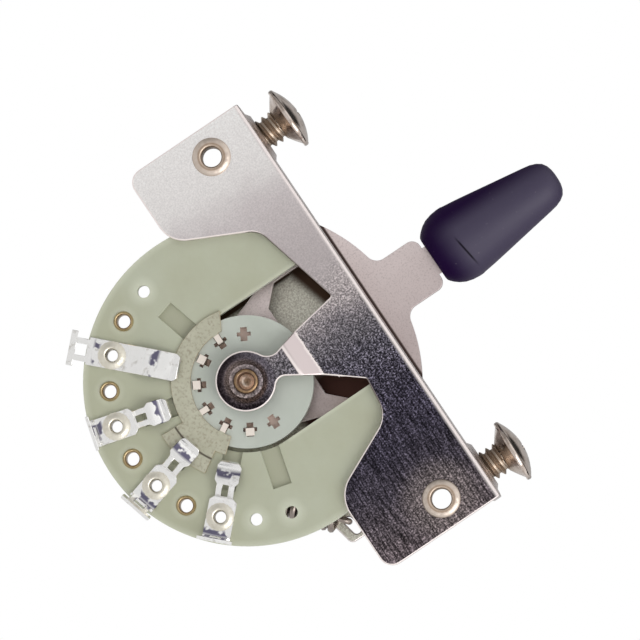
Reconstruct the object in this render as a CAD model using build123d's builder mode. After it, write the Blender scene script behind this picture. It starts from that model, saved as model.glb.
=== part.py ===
from build123d import *
import os
from math import cos, radians, sin, sqrt

# The mounting face is z = 0, the lever points up, the front flange faces -Y.

# Frame stamping
sheet = 1.0
face_length = 48.8
face_depth = 11.0
bend_outside = 0.45
pivot_drop = 15.2
wing_gap_left = 1.4
wing_gap_right = 1.25
slot_length = 27.0
slot_width = 2.6
screw_pitch = face_length - 7.5
collar_base_r = 3.0
collar_top_r = 2.45
collar_height = 0.4
eyelet_pitch = face_length - 6.2
eyelet_drop = 5.25
eyelet_bore_r = 1.05
eyelet_barrel_r = 1.35
eyelet_rim_r = 2.0
eyelet_play = 0.05

# Pivot tab of the front flange
joggle = 1.0
tab_root = 8.2
joggle_top = 6.95
joggle_bottom = 5.1
boss_r = 3.14
dimple_r = 2.35
dimple_floor_r = 1.75
dimple_depth = 0.7

# Rear flange
rear_length = face_length - 9.6
ear_slot = 2.1
ear_slot_width = 0.95
ear_tilt = 12.0
ear_inset = 1.55
ear_z = 0.55

# Mounting screw, number 6 with an oval head
screw_r = 1.7
tap_clearance = 0.05
recess_turn = 20.0
head_r = 3.4
head_lift = 3.7
head_cone = 1.4
head_dome = 1.1
screw_length = 6.35
recess_width = 0.75
recess_length = 3.4
recess_depth = 1.3

# Wafer and what is riveted to it
wafer_r = 17.0
wafer_t = 1.6
wafer_slot_gap = 0.4
wafer_ear_height = 5.4
wafer_top_gap = 0.8
hole_circle_r = 14.25
hole_step = 15.0
open_hole_r = 0.65
pocket_width = 2.0
pocket_end_r = 11.4
pocket_depth = 0.5
rivet_seat_gap = 0.05

# Spring clip terminals
strip_t = 0.35
strip_width = 2.9
finger_width = 2.5
finger_neck = 1.9
finger_hole = 0.7
finger_hole_length = 1.2
tip_round = 0.35
lug_width = 2.4
lug_length = 2.2
lug_bar = 3.7
lug_bar_t = 0.65
lug_window = 1.2
finger_tip_r = 8.5
common_tip_r = 7.15
clip_touch_gap = 0.05
clip_heel = 16.4
clip_rivet_r = 1.5
clip_rivet_hole_r = 0.6
clip_barrel_r = 0.88
brass_flange_r = 1.04
brass_hole_r = 0.7

# Rotor and its blades
rotor_r = 6.9
hub_r = rotor_r / 2.875
cross_circle_r = rotor_r / 1.394
cross_long = 1.45
cross_wide = 0.72
cross_narrow = 0.42
cross_depth = 0.8
blade_t = 0.25
blade_float = 0.03
blade_inner_r = cross_circle_r + cross_long / 2 + 0.175
blade_outer_r = rotor_r + 0.95
blade_start = -103.0
blade_slant = 6.0
blade_end = 40.0
back_blade_start = -78.0
back_blade_end = 78.0
tongue_r = 10.4
tongue_angle = 15.0
tongue_spread = 33.0
prong_width = 0.6
prong_t = 0.3
prong_gap = 0.08
clinch_width = 0.9
clinch_length = 0.8

# Pivot rivet and running fits
rivet_r = 1.15
rivet_bore_r = 0.85
rivet_end_r = 1.3
rivet_head_r = 2.1
rivet_bore_depth = 1.5
running = 0.07
press_gap = 0.02
spacer_r = 2.0
end_play = 0.1

# Lever
lever_t = 1.2
fan_r = 18.0
neck_half = 2.95
neck_top = 22.7
blade_half = 1.6
blade_top = 34.0
window_half = 6.35
window_bottom = 6.0
window_top = 13.3
window_corner = 1.95
crest_r = 9.5
index_step = 15.0
drive_pin_r = 0.5
drive_pin_circle_r = rotor_r / 2.09
drive_pin_bite = 0.8

# Index arm, roller and spring
roller_r = 1.1
roller_pin_r = 0.5
notch_depth = 0.5
notch_play = 0.05
roller_length = 1.7
arm_t = 1.2
arm_gap = 1.4
arm_pivot_x = -7.2
arm_pivot_z = -9.2
arm_swing = 5.2
arm_hook_x = 4.1
arm_hook_z = -10.6
arm_pin_r = 1.0
arm_tenon_r = 0.8
arm_root_r = 1.9
arm_roller_r = 1.6
arm_end_r = 1.4
arm_hook_hole_r = 0.6
arm_seat_r = 2.2
wire_r = 0.35
spring_r = 1.7
spring_turns = 17
hook_leg = 0.6
hook_rise = 1.25

# Knob
knob_foot = neck_top + 0.35
knob_wide_z = 26.3
knob_wide = 4.15
knob_top = 38.5
knob_flat = 0.8
knob_socket_gap = 0.05

os.makedirs("parts", exist_ok=True)

# Places that several pieces share
wafer_slot_r = rotor_r + wafer_slot_gap
ear_x = rear_length / 2 - ear_inset
pivot_z = -pivot_drop
front_y = -face_depth / 2
rear_y = face_depth / 2
wafer_front = front_y + sheet
wafer_back = wafer_front + wafer_t
rear_inner = rear_y - sheet
arm_front = lever_t / 2 + arm_gap
arm_back = arm_front + arm_t
notch_at = crest_r + roller_r - notch_depth


def pivot_plane(y):
    """A plane across the pivot axis at depth y, drawn in x and z from the axis, facing the viewer."""
    return Plane(origin=(0, y, pivot_z), x_dir=(1, 0, 0), z_dir=(0, -1, 0))


def turned_plane(x, z):
    """A plane that holds a front-to-back axis at x and z from the pivot, drawn in radius and depth."""
    return Plane(origin=(x, 0, pivot_z + z), x_dir=(1, 0, 0), z_dir=(0, 0, 1))


def turned_axis(x, z):
    return Axis((x, 0, pivot_z + z), (0, 1, 0))


def around(radius, angle):
    """The x and z of a point on a circle about the pivot, angle from straight down toward +X."""
    return radius * sin(radians(angle)), -radius * cos(radians(angle))


def swung(x, z, angle):
    """A point given from the pivot, turned about the index arm's pin."""
    dx, dz = x - arm_pivot_x, z - arm_pivot_z
    c, s = cos(radians(angle)), sin(radians(angle))
    return arm_pivot_x + dx * c - dz * s, arm_pivot_z + dx * s + dz * c


# The roller rests just clear of the crests, one swing of the arm below its seat in a notch
roller_x, roller_z = swung(0, -notch_at - notch_play, -arm_swing)


def export(part, name):
    part.label = name
    export_step(part, f"parts/{name}.step")


# Frame: the folded sheet, its two outlines, then the joggled and dimpled tab
wing_line = [
    (-face_length / 2, pivot_drop, 0),
    (-face_length / 2, wing_gap_left, 1.5),
    (-16.35, wing_gap_left, 3.0),
    (-12.25, 9.7, 2.2),
    (-2.4, 12.2, 0.25),
    (-1.68, 8.0, 0),
    (4.7, 8.0, 0),
    (6.7, 10.45, 0.3),
    (11.0, 10.0, 3.0),
    (15.1, wing_gap_right, 3.5),
    (face_length / 2, wing_gap_right, 1.5),
    (face_length / 2, pivot_drop, 0),
]
rear_line = [
    (-rear_length / 2, pivot_drop, 0),
    (-rear_length / 2, 5.0, 2.0),
    (-rear_length / 2 + 6.0, 1.5, 2.0),
    (-9.3, -8.6, 0),
    (-5.1, -9.8, 0),
    (-4.6, -5.4, 0.8),
    (4.6, -5.4, 1.5),
    (rear_length / 2 - 10.8, -1.5, 2.0),
    (rear_length / 2 - 10.0, 7.4, 1.8),
    (rear_length / 2 - 5.0, 5.6, 1.5),
    (rear_length / 2 - 3.25, -1.3, 0),
    (rear_length / 2, -0.62, 0.6),
    (rear_length / 2, pivot_drop, 0),
]


def flange_outline(line, x_seat, z_seat, seat_r):
    """A flange seen from the front: its corners with their rounding, and a round seat for a pin."""
    with BuildSketch() as outline:
        with BuildLine():
            Polyline(*[(x, z) for x, z, rounding in line], close=True)
        make_face()
        if seat_r:
            with Locations((x_seat, z_seat)):
                Circle(seat_r)
        for x, z, rounding in line:
            if rounding:
                fillet(outline.vertices().sort_by_distance((x, z))[0], radius=rounding)
    return outline.sketch


with BuildPart() as frame:
    with BuildSketch(Plane.YZ) as fold:
        Rectangle(face_depth, 2 * pivot_drop, align=(Align.CENTER, Align.MAX))
        fillet(fold.vertices().group_by(Axis.Y)[-1], radius=bend_outside)
        with Locations((0, -sheet)):
            Rectangle(
                face_depth - 2 * sheet,
                2 * pivot_drop,
                align=(Align.CENTER, Align.MAX),
                mode=Mode.SUBTRACT,
            )
    extrude(amount=face_length / 2, both=True)
    with BuildSketch(pivot_plane(0)) as front_waste:
        Rectangle(2 * face_length, 4 * pivot_drop)
        add(flange_outline(wing_line, 0, 0, 0), mode=Mode.SUBTRACT)
    extrude(amount=face_depth, mode=Mode.SUBTRACT)
    with BuildSketch(pivot_plane(0)) as rear_waste:
        Rectangle(2 * face_length, 4 * pivot_drop)
        add(flange_outline(rear_line, arm_pivot_x, arm_pivot_z, arm_seat_r), mode=Mode.SUBTRACT)
    extrude(amount=-face_depth, mode=Mode.SUBTRACT)
    with BuildSketch(Plane.YZ.offset(-4.0)) as tab_side:
        with BuildLine():
            FilletPolyline(
                (front_y + sheet / 2, pivot_z + tab_root),
                (front_y + sheet / 2, pivot_z + joggle_top),
                (front_y + sheet / 2 - joggle, pivot_z + joggle_bottom),
                (front_y + sheet / 2 - joggle, pivot_z - boss_r - 0.1),
                radius=0.6,
            )
        trace(line_width=sheet)
    extrude(amount=9.6)
    with BuildSketch(pivot_plane(front_y + sheet)) as tab_waste:
        with Locations((0, tab_root)):
            Rectangle(14.0, 24.0, align=(Align.CENTER, Align.MAX))
        with BuildLine():
            Polyline(
                (-1.72, tab_root),
                (-1.5, 7.0),
                (-0.2, 2.6),
                (1.15, 2.6),
                (3.9, 7.0),
                (4.7, 8.0),
                (4.87, tab_root),
                close=True,
            )
        make_face(mode=Mode.SUBTRACT)
        Circle(boss_r, mode=Mode.SUBTRACT)
        for near, radius in [((-0.3, 3.12), 1.5), ((1.33, 2.84), 1.0)]:
            fillet(tab_waste.vertices().sort_by_distance(near)[0], radius=radius)
    extrude(amount=3 * joggle, mode=Mode.SUBTRACT)
    # The conical dimple of the boss
    with BuildSketch(pivot_plane(front_y + sheet)) as boss_cut:
        Circle(dimple_r + 0.5 * sheet)
    extrude(amount=3 * joggle, mode=Mode.SUBTRACT)
    with BuildSketch(turned_plane(0, 0)) as dimple:
        with BuildLine():
            Polyline(
                (rivet_r + press_gap, front_y - joggle + dimple_depth),
                (dimple_floor_r, front_y - joggle + dimple_depth),
                (dimple_r, front_y - joggle),
                (dimple_r + 0.5 * sheet, front_y - joggle),
                (dimple_r + 0.5 * sheet, front_y - joggle + sheet),
                (dimple_floor_r + 0.5 * sheet, front_y - joggle + dimple_depth + sheet),
                (rivet_r + press_gap, front_y - joggle + dimple_depth + sheet),
                close=True,
            )
        make_face()
    revolve(axis=turned_axis(0, 0))
    # Lever slot, tapped holes with their collars, eyelet and rivet holes, ear slot
    with BuildSketch(Plane.XY) as slot:
        SlotOverall(slot_length, slot_width)
    extrude(amount=-2 * sheet, mode=Mode.SUBTRACT)
    with BuildSketch(Plane.XY.offset(-sheet / 2)) as collars:
        with Locations((-screw_pitch / 2, 0), (screw_pitch / 2, 0)):
            Circle(collar_base_r)
    extrude(amount=sheet / 2)
    with Locations((-screw_pitch / 2, 0, 0), (screw_pitch / 2, 0, 0)):
        Cone(
            collar_base_r,
            collar_top_r,
            collar_height,
            align=(Align.CENTER, Align.CENTER, Align.MIN),
        )
    with BuildSketch(Plane.XY.offset(collar_height)) as taps:
        with Locations((-screw_pitch / 2, 0), (screw_pitch / 2, 0)):
            Circle(screw_r + tap_clearance)
    extrude(amount=-2 * sheet, mode=Mode.SUBTRACT)
    with BuildSketch(pivot_plane(wafer_front)) as eyelet_holes:
        with Locations(
            (-eyelet_pitch / 2, pivot_drop - eyelet_drop),
            (eyelet_pitch / 2, pivot_drop - eyelet_drop),
        ):
            Circle(eyelet_barrel_r + eyelet_play)
    extrude(amount=2 * sheet, mode=Mode.SUBTRACT)
    with BuildSketch(pivot_plane(rear_inner)) as rear_holes:
        Circle(rivet_r + press_gap)
        with Locations((arm_pivot_x, arm_pivot_z)):
            Circle(arm_tenon_r + press_gap)
        with Locations((ear_x, ear_z)):
            SlotOverall(ear_slot, ear_slot_width, rotation=ear_tilt)
    extrude(amount=-2 * sheet, mode=Mode.SUBTRACT)
export(frame.part, "frame")

# Hollow eyelets that hold the wafer to the front flange
with BuildPart() as frame_eyelets:
    for side in (-1, 1):
        x = side * eyelet_pitch / 2
        z = pivot_drop - eyelet_drop
        with BuildSketch(turned_plane(x, z)) as ring:
            with BuildLine():
                Polyline(
                    (eyelet_bore_r, front_y - 0.25),
                    (eyelet_bore_r + 0.15, front_y - 0.42),
                    (eyelet_rim_r - 0.3, front_y - 0.38),
                    (eyelet_rim_r, front_y - 0.12),
                    (eyelet_rim_r, front_y),
                    (eyelet_barrel_r, front_y),
                    (eyelet_barrel_r, wafer_back),
                    (eyelet_rim_r - 0.2, wafer_back),
                    (eyelet_rim_r - 0.25, wafer_back + 0.25),
                    (eyelet_bore_r + 0.25, wafer_back + 0.35),
                    (eyelet_bore_r, wafer_back + 0.2),
                    close=True,
                )
            make_face()
        revolve(axis=turned_axis(x, z))
export(frame_eyelets.part, "frame_eyelets")

# Oval-head mounting screws with a cross recess
head_top = head_lift + head_dome
dome_r = (head_r**2 + head_dome**2) / (2 * head_dome)
dome_mid = (head_r / 2, head_top - dome_r + sqrt(dome_r**2 - head_r**2 / 4))
with BuildPart() as mounting_screws:
    for side in (-1, 1):
        x = side * screw_pitch / 2
        with BuildSketch(Plane(origin=(x, 0, 0), x_dir=(1, 0, 0), z_dir=(0, -1, 0))) as half:
            with BuildLine():
                ThreePointArc((0, head_top), dome_mid, (head_r, head_lift))
                Polyline(
                    (head_r, head_lift),
                    (head_r, head_lift - 0.12),
                    (screw_r, head_lift - head_cone),
                    (screw_r, head_lift - screw_length + 0.35),
                    (screw_r - 0.35, head_lift - screw_length),
                    (0, head_lift - screw_length),
                    (0, head_top),
                )
            make_face()
        revolve(axis=Axis((x, 0, 0), (0, 0, 1)))
        with BuildSketch(Plane.XY.offset(head_top - recess_depth)) as recess:
            with Locations((x, 0)):
                Rectangle(recess_length, recess_width, rotation=recess_turn)
                Rectangle(recess_width, recess_length, rotation=recess_turn)
        extrude(amount=recess_depth, mode=Mode.SUBTRACT)
export(mounting_screws.part, "mounting_screws")

# Wafer: a disc with two ears, a U slot, eleven holes and six blind pockets
with BuildPart() as wafer:
    with BuildSketch(pivot_plane(wafer_back)) as board:
        Circle(wafer_r)
        with Locations((0, pivot_drop - sheet - wafer_top_gap)):
            Rectangle(
                3 * wafer_r, wafer_r, align=(Align.CENTER, Align.MIN), mode=Mode.SUBTRACT
            )
        with Locations((0, pivot_drop - eyelet_drop)):
            SlotOverall(eyelet_pitch + wafer_ear_height - 0.8, wafer_ear_height)
        Circle(wafer_slot_r, mode=Mode.SUBTRACT)
        Rectangle(
            2 * wafer_slot_r,
            2 * wafer_r,
            align=(Align.CENTER, Align.MIN),
            mode=Mode.SUBTRACT,
        )
        with Locations(
            (-eyelet_pitch / 2, pivot_drop - eyelet_drop),
            (eyelet_pitch / 2, pivot_drop - eyelet_drop),
        ):
            Circle(eyelet_barrel_r + eyelet_play, mode=Mode.SUBTRACT)
        for step in range(-5, 6):
            radius = open_hole_r if step in (-5, 4, 5) else clip_barrel_r + rivet_seat_gap
            with Locations(around(hole_circle_r, step * hole_step)):
                Circle(radius, mode=Mode.SUBTRACT)
    extrude(amount=wafer_t)
    with BuildSketch(pivot_plane(wafer_front)) as pockets:
        for step in (-5, -3, -1, 1, 3, 5):
            with Locations(around((6.0 + pocket_end_r) / 2, step * hole_step)):
                Rectangle(pocket_width, pocket_end_r - 6.0, rotation=step * hole_step)
    extrude(amount=-pocket_depth, mode=Mode.SUBTRACT)
export(wafer.part, "wafer")


def terminal(tip_r, bend, step_up, necked):
    """A spring clip in its own frame: x is the distance from the pivot, z is height over the wafer."""
    lie = strip_t / 2
    touch = blade_float + blade_t + clip_touch_gap + lie
    turn = radians(bend)
    pad = finger_width if necked else strip_width
    neck = finger_neck if necked else strip_width
    path = [
        (tip_r, touch + 0.35),
        (tip_r + 0.45, touch),
        (tip_r + 0.8, touch),
        (10.2, touch + step_up),
        (11.3, touch + step_up),
        (12.4, lie),
        (clip_heel, lie),
    ]
    if bend == 0:
        path.pop()
    path.append((clip_heel + 0.4 * cos(turn), lie + 0.4 * sin(turn)))
    with BuildPart() as clip:
        with BuildSketch(Plane.XZ) as side:
            with BuildLine():
                Polyline(*path)
            trace(line_width=strip_t)
        extrude(amount=strip_width / 2, both=True)
        with BuildSketch(Plane.XY) as plan:
            for hand in (-1, 1):
                with BuildLine():
                    Polyline(
                        (tip_r - 1, hand * (pad / 2 - tip_round)),
                        (tip_r, hand * (pad / 2 - tip_round)),
                        (tip_r + 0.45, hand * pad / 2),
                        (10.5, hand * pad / 2),
                        (10.9, hand * neck / 2),
                        (12.2, hand * neck / 2),
                        (12.6, hand * strip_width / 2),
                        (12.6, hand * strip_width),
                        (tip_r - 1, hand * strip_width),
                        close=True,
                    )
                make_face()
            if necked:
                with Locations((11.5, 0)):
                    Rectangle(finger_hole_length, finger_hole)
            with Locations((hole_circle_r, 0)):
                Circle(clip_barrel_r + rivet_seat_gap)
        extrude(amount=3.0, mode=Mode.SUBTRACT)
        # Beyond the heel the strip narrows to the lug with its solder window and cross bar
        start = (clip_heel + 0.2 * cos(turn), 0, lie + 0.2 * sin(turn))
        with BuildSketch(
            Plane(origin=start, x_dir=(cos(turn), 0, sin(turn)), z_dir=(-sin(turn), 0, cos(turn)))
        ) as lug:
            Rectangle(lug_length, lug_width, align=(Align.MIN, Align.CENTER))
            with Locations((lug_length - lug_bar_t, 0)):
                Rectangle(lug_bar_t, lug_bar, align=(Align.MIN, Align.CENTER))
            with Locations(((lug_length - lug_bar_t) / 2 + 0.15, 0)):
                Rectangle(lug_window, lug_window, mode=Mode.SUBTRACT)
        extrude(amount=strip_t / 2, both=True)
    return clip.part


def on_wafer(angle, y, out):
    """The frame of a clip on the wafer face at depth y, out is -1 for the front and 1 for the back."""
    x, z = around(1, angle)
    return Location(Plane(origin=(0, y, pivot_z), x_dir=(x, 0, z), z_dir=(0, out, 0)))


finger = terminal(finger_tip_r, 82, 0.5, True)
finger_low = terminal(finger_tip_r, 66, 0.5, True)
common_flat = terminal(common_tip_r, 0, 0.45, False)
common_bent = terminal(common_tip_r, 90, 0.45, False)
back_finger = terminal(finger_tip_r, 90, 0.5, True)
export(on_wafer(-45, wafer_front, -1) * common_flat, "front_common_terminal")
export(on_wafer(-15, wafer_front, -1) * finger, "front_terminal_1")
export(on_wafer(15, wafer_front, -1) * finger_low, "front_terminal_2")
export(on_wafer(45, wafer_front, -1) * finger, "front_terminal_3")
export(on_wafer(-60, wafer_back, 1) * common_bent, "back_common_terminal")
export(on_wafer(-30, wafer_back, 1) * back_finger, "back_terminal_1")
export(on_wafer(0, wafer_back, 1) * back_finger, "back_terminal_2")
export(on_wafer(30, wafer_back, 1) * back_finger, "back_terminal_3")


def wafer_rivets(angles, flange_r, bore_r, clip_side):
    """Tubular rivets through the wafer, with the clip under the flange on one side."""
    near = wafer_front - (strip_t if clip_side < 0 else 0)
    far = wafer_back + (strip_t if clip_side > 0 else 0)
    with BuildPart() as rivets:
        for angle in angles:
            x, z = around(hole_circle_r, angle)
            with BuildSketch(turned_plane(x, z)) as wall:
                with BuildLine():
                    Polyline(
                        (bore_r, near - 0.1),
                        (bore_r + 0.18, near - 0.3),
                        (flange_r - 0.15, near - 0.26),
                        (flange_r, near - 0.1),
                        (flange_r, near),
                        (clip_barrel_r, near),
                        (clip_barrel_r, far),
                        (flange_r, far),
                        (flange_r - 0.1, far + 0.22),
                        (bore_r, far + 0.22),
                        close=True,
                    )
                make_face()
            revolve(axis=turned_axis(x, z))
    return rivets.part


export(
    wafer_rivets((-45, -15, 15, 45), clip_rivet_r, clip_rivet_hole_r, -1), "front_terminal_rivets"
)
export(wafer_rivets((-60, -30, 0, 30), brass_flange_r, brass_hole_r, 1), "back_terminal_eyelets")

# Rotor: the insulating disc in the wafer's slot, with a hub toward the lever. All twelve crosses
# are blind, and six of them have a slot in the floor for a blade's prong.
front_prongs = (-90, 0, 30)
back_prongs = (-60, -30, 60)
with BuildPart() as rotor:
    with BuildSketch(pivot_plane(wafer_back)) as disc:
        Circle(rotor_r)
    extrude(amount=wafer_t)
    with BuildSketch(pivot_plane(-lever_t / 2 - end_play)) as hub:
        Circle(hub_r)
    extrude(amount=-lever_t / 2 - end_play - wafer_back)
    with BuildSketch(pivot_plane(wafer_front)) as crosses:
        for turn in range(12):
            with Locations(around(cross_circle_r, turn * 30)):
                Rectangle(cross_wide, cross_long, rotation=turn * 30)
                Rectangle(cross_long, cross_narrow, rotation=turn * 30)
    extrude(amount=-cross_depth, mode=Mode.SUBTRACT)
    with BuildSketch(pivot_plane(wafer_front)) as slots:
        for angle in front_prongs + back_prongs:
            with Locations(around(cross_circle_r, angle)):
                Rectangle(prong_width + 2 * prong_gap, prong_t + 2 * prong_gap, rotation=angle)
    extrude(amount=-wafer_t, mode=Mode.SUBTRACT)
    with BuildSketch(pivot_plane(wafer_back)) as pin_holes:
        with PolarLocations(drive_pin_circle_r, 2):
            Circle(drive_pin_r + press_gap)
    extrude(amount=drive_pin_bite + press_gap, mode=Mode.SUBTRACT)
    with BuildSketch(pivot_plane(0)) as bore:
        Circle(rivet_r + running)
    extrude(amount=face_depth, mode=Mode.SUBTRACT)
export(rotor.part, "rotor")


def contact_blade(face_y, out, start, end, tongue, prongs):
    """A ring sector on one face of the rotor, with prongs through the crosses clinched on the other."""
    with BuildPart() as blade:
        with BuildSketch(pivot_plane(face_y + out * blade_float)) as plan:
            with BuildLine():
                CenterArc((0, 0), blade_outer_r, start - 90, end - start)
                Line(around(blade_outer_r, end), around(blade_inner_r, end))
                CenterArc(
                    (0, 0), blade_inner_r, start + blade_slant - 90, end - start - blade_slant
                )
                Line(around(blade_inner_r, start + blade_slant), around(blade_outer_r, start))
            make_face()
            with BuildLine():
                low = tongue - tongue_spread / 2
                CenterArc((0, 0), tongue_r, low - 90, tongue_spread)
                Line(around(tongue_r, low + tongue_spread), around(blade_inner_r, low + tongue_spread))
                CenterArc((0, 0), blade_inner_r, low - 90, tongue_spread)
                Line(around(blade_inner_r, low), around(tongue_r, low))
            make_face()
            for angle in prongs:
                with Locations(around((cross_circle_r + blade_inner_r) / 2 + 0.15, angle)):
                    Rectangle(
                        prong_width, blade_inner_r - cross_circle_r + 0.55, rotation=angle
                    )
        extrude(amount=-out * blade_t)
        through = wafer_t + blade_float
        with BuildSketch(pivot_plane(face_y + out * blade_float)) as posts:
            for angle in prongs:
                with Locations(around(cross_circle_r, angle)):
                    Rectangle(prong_width, prong_t, rotation=angle)
        extrude(amount=out * (through + 0.05 + blade_t))
        with BuildSketch(pivot_plane(face_y - out * (wafer_t + 0.05))) as clinches:
            for angle in prongs:
                with Locations(around(cross_circle_r + 0.25, angle)):
                    Rectangle(clinch_width, clinch_length, rotation=angle)
        extrude(amount=out * blade_t)
    return blade.part


export(
    contact_blade(wafer_front, -1, blade_start, blade_end, tongue_angle, front_prongs),
    "front_blade",
)
export(
    contact_blade(wafer_back, 1, back_blade_start, back_blade_end, 0, back_prongs),
    "back_blade",
)

# Semi-tubular pivot rivet, its front end rolled into the dimple
tip_y = front_y - joggle + dimple_depth
with BuildPart() as pivot_rivet:
    with BuildSketch(turned_plane(0, 0)) as wall:
        with BuildLine():
            Polyline(
                (0, tip_y + rivet_bore_depth + 0.35),
                (rivet_bore_r, tip_y + rivet_bore_depth),
                (rivet_bore_r, tip_y - 0.25),
                (rivet_bore_r + 0.14, tip_y - 0.42),
                (rivet_end_r - 0.1, tip_y - 0.36),
                (rivet_end_r, tip_y - 0.18),
                (rivet_end_r, tip_y),
                (rivet_r, tip_y),
                (rivet_r, rear_y),
                (rivet_head_r, rear_y),
                (rivet_head_r, rear_y + 0.25),
                (rivet_head_r - 0.35, rear_y + 0.5),
                (0, rear_y + 0.5),
                close=True,
            )
        make_face()
    revolve(axis=turned_axis(0, 0))
export(pivot_rivet.part, "pivot_rivet")

with BuildPart() as rear_spacer:
    with BuildSketch(pivot_plane(rear_inner)) as sleeve:
        Circle(spacer_r)
        Circle(rivet_r + press_gap, mode=Mode.SUBTRACT)
    extrude(amount=rear_inner - lever_t / 2 - end_play)
export(rear_spacer.part, "rear_spacer")

# Lever: fan, neck and knob blade above, window, hub and index notches below
with BuildPart() as lever:
    with BuildSketch(pivot_plane(lever_t / 2)) as plate:
        with BuildLine():
            fan = radians(36)
            CenterArc((0, 0), fan_r, 54, 72)
            Polyline(
                (-fan_r * sin(fan), fan_r * cos(fan)),
                (-6.3, 2.1),
                (-6.2, -2.0),
                (-crest_r * sin(radians(43)), -crest_r * cos(radians(43))),
            )
            CenterArc((0, 0), crest_r, -133, 86)
            Polyline(
                (crest_r * sin(radians(43)), -crest_r * cos(radians(43))),
                (6.2, -2.0),
                (6.3, 2.1),
                (fan_r * sin(fan), fan_r * cos(fan)),
            )
        make_face()
        with Locations((0, 16)):
            Rectangle(2 * neck_half, neck_top - 16, align=(Align.CENTER, Align.MIN))
        for hand in (-1, 1):
            near = (hand * neck_half, sqrt(fan_r**2 - neck_half**2))
            fillet(plate.vertices().sort_by_distance(near)[0], radius=1.3)
            near = (hand * neck_half, neck_top)
            fillet(plate.vertices().sort_by_distance(near)[0], radius=1.0)
            near = (hand * fan_r * sin(fan), fan_r * cos(fan))
            fillet(plate.vertices().sort_by_distance(near)[0], radius=1.0)
        with Locations((0, 20)):
            Rectangle(2 * blade_half, blade_top - 20, align=(Align.CENTER, Align.MIN))
        with BuildLine():
            Polyline(
                (window_corner - window_half, window_bottom),
                (window_half - window_corner, window_bottom),
                (window_half, window_bottom + window_corner),
                (window_half, window_top - window_corner),
                (window_half - window_corner, window_top),
                (window_corner - window_half, window_top),
                (-window_half, window_top - window_corner),
                (-window_half, window_bottom + window_corner),
                close=True,
            )
        make_face(mode=Mode.SUBTRACT)
        for step in range(-2, 3):
            with Locations(around(notch_at, step * index_step)):
                Circle(roller_r + notch_play, mode=Mode.SUBTRACT)
        Circle(rivet_r + running, mode=Mode.SUBTRACT)
        with PolarLocations(drive_pin_circle_r, 2):
            Circle(drive_pin_r + press_gap, mode=Mode.SUBTRACT)
    extrude(amount=lever_t)
export(lever.part, "lever")

with BuildPart() as drive_pins:
    with BuildSketch(pivot_plane(lever_t / 2)) as ends:
        with PolarLocations(drive_pin_circle_r, 2):
            Circle(drive_pin_r)
    extrude(amount=lever_t / 2 - wafer_back + drive_pin_bite)
export(drive_pins.part, "drive_pins")

# Knob: oval sections up the lever, with a slot for its blade
knob_sections = [
    (knob_foot, 2.65),
    (knob_foot + 0.45, 3.1),
    (knob_foot + 1.5, 3.8),
    (knob_wide_z, knob_wide),
    (28.5, 3.88),
    (32.5, 3.24),
    (35.9, 2.7),
    (37.2, 2.25),
    (38.0, 1.6),
    (38.4, 0.9),
    (knob_top, 0.3),
]
with BuildPart() as knob:
    for height, half in knob_sections:
        with BuildSketch(Plane.XY.offset(pivot_z + height)):
            Ellipse(half, half * knob_flat)
    loft()
    with BuildSketch(Plane.XY.offset(pivot_z + knob_foot)) as socket:
        Rectangle(
            2 * (blade_half + knob_socket_gap), lever_t + 2 * knob_socket_gap
        )
    extrude(amount=blade_top - knob_foot + 0.3, mode=Mode.SUBTRACT)
export(knob.part, "knob")

# Index arm on the rear flange, its pin, the roller and the roller's pin
with BuildPart() as index_arm:
    with BuildSketch(pivot_plane(arm_back)) as bar:
        with Locations((arm_pivot_x, arm_pivot_z)):
            Circle(arm_root_r)
        with Locations((roller_x, roller_z)):
            Circle(arm_roller_r)
        make_hull()
        with BuildSketch(Plane.XY) as tail:
            with Locations((roller_x, roller_z)):
                Circle(arm_roller_r)
            with Locations((arm_hook_x, arm_hook_z)):
                Circle(arm_end_r)
            make_hull()
        with Locations((arm_pivot_x, arm_pivot_z)):
            Circle(arm_pin_r + running, mode=Mode.SUBTRACT)
        with Locations((roller_x, roller_z)):
            Circle(roller_pin_r, mode=Mode.SUBTRACT)
        with Locations((arm_hook_x, arm_hook_z)):
            Circle(arm_hook_hole_r, mode=Mode.SUBTRACT)
    extrude(amount=arm_t)
export(index_arm.part, "index_arm")

with BuildPart() as index_arm_pin:
    with BuildSketch(turned_plane(arm_pivot_x, arm_pivot_z)) as profile:
        with BuildLine():
            Polyline(
                (0, arm_front - 0.5),
                (1.5, arm_front - 0.5),
                (1.7, arm_front - 0.35),
                (1.7, arm_front - end_play),
                (arm_pin_r, arm_front - end_play),
                (arm_pin_r, arm_back + end_play),
                (1.6, arm_back + end_play),
                (1.6, rear_inner),
                (arm_tenon_r, rear_inner),
                (arm_tenon_r, rear_y),
                (1.3, rear_y),
                (1.1, rear_y + 0.35),
                (0, rear_y + 0.35),
                close=True,
            )
        make_face()
    revolve(axis=turned_axis(arm_pivot_x, arm_pivot_z))
export(index_arm_pin.part, "index_arm_pin")

with BuildPart() as index_roller:
    with BuildSketch(pivot_plane(roller_length / 2)) as ring:
        with Locations((roller_x, roller_z)):
            Circle(roller_r)
            Circle(roller_pin_r + running, mode=Mode.SUBTRACT)
    extrude(amount=roller_length)
export(index_roller.part, "index_roller")

with BuildPart() as index_roller_pin:
    with BuildSketch(turned_plane(roller_x, roller_z)) as profile:
        with BuildLine():
            Polyline(
                (0, -roller_length / 2 - 0.4),
                (0.75, -roller_length / 2 - 0.4),
                (0.75, -roller_length / 2 - 0.08),
                (roller_pin_r, -roller_length / 2 - 0.08),
                (roller_pin_r, roller_length / 2 + 0.08),
                (0.8, roller_length / 2 + 0.08),
                (0.8, arm_front),
                (roller_pin_r, arm_front),
                (roller_pin_r, arm_back + 0.2),
                (0, arm_back + 0.2),
                close=True,
            )
        make_face()
    revolve(axis=turned_axis(roller_x, roller_z))
export(index_roller_pin.part, "index_roller_pin")

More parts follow.
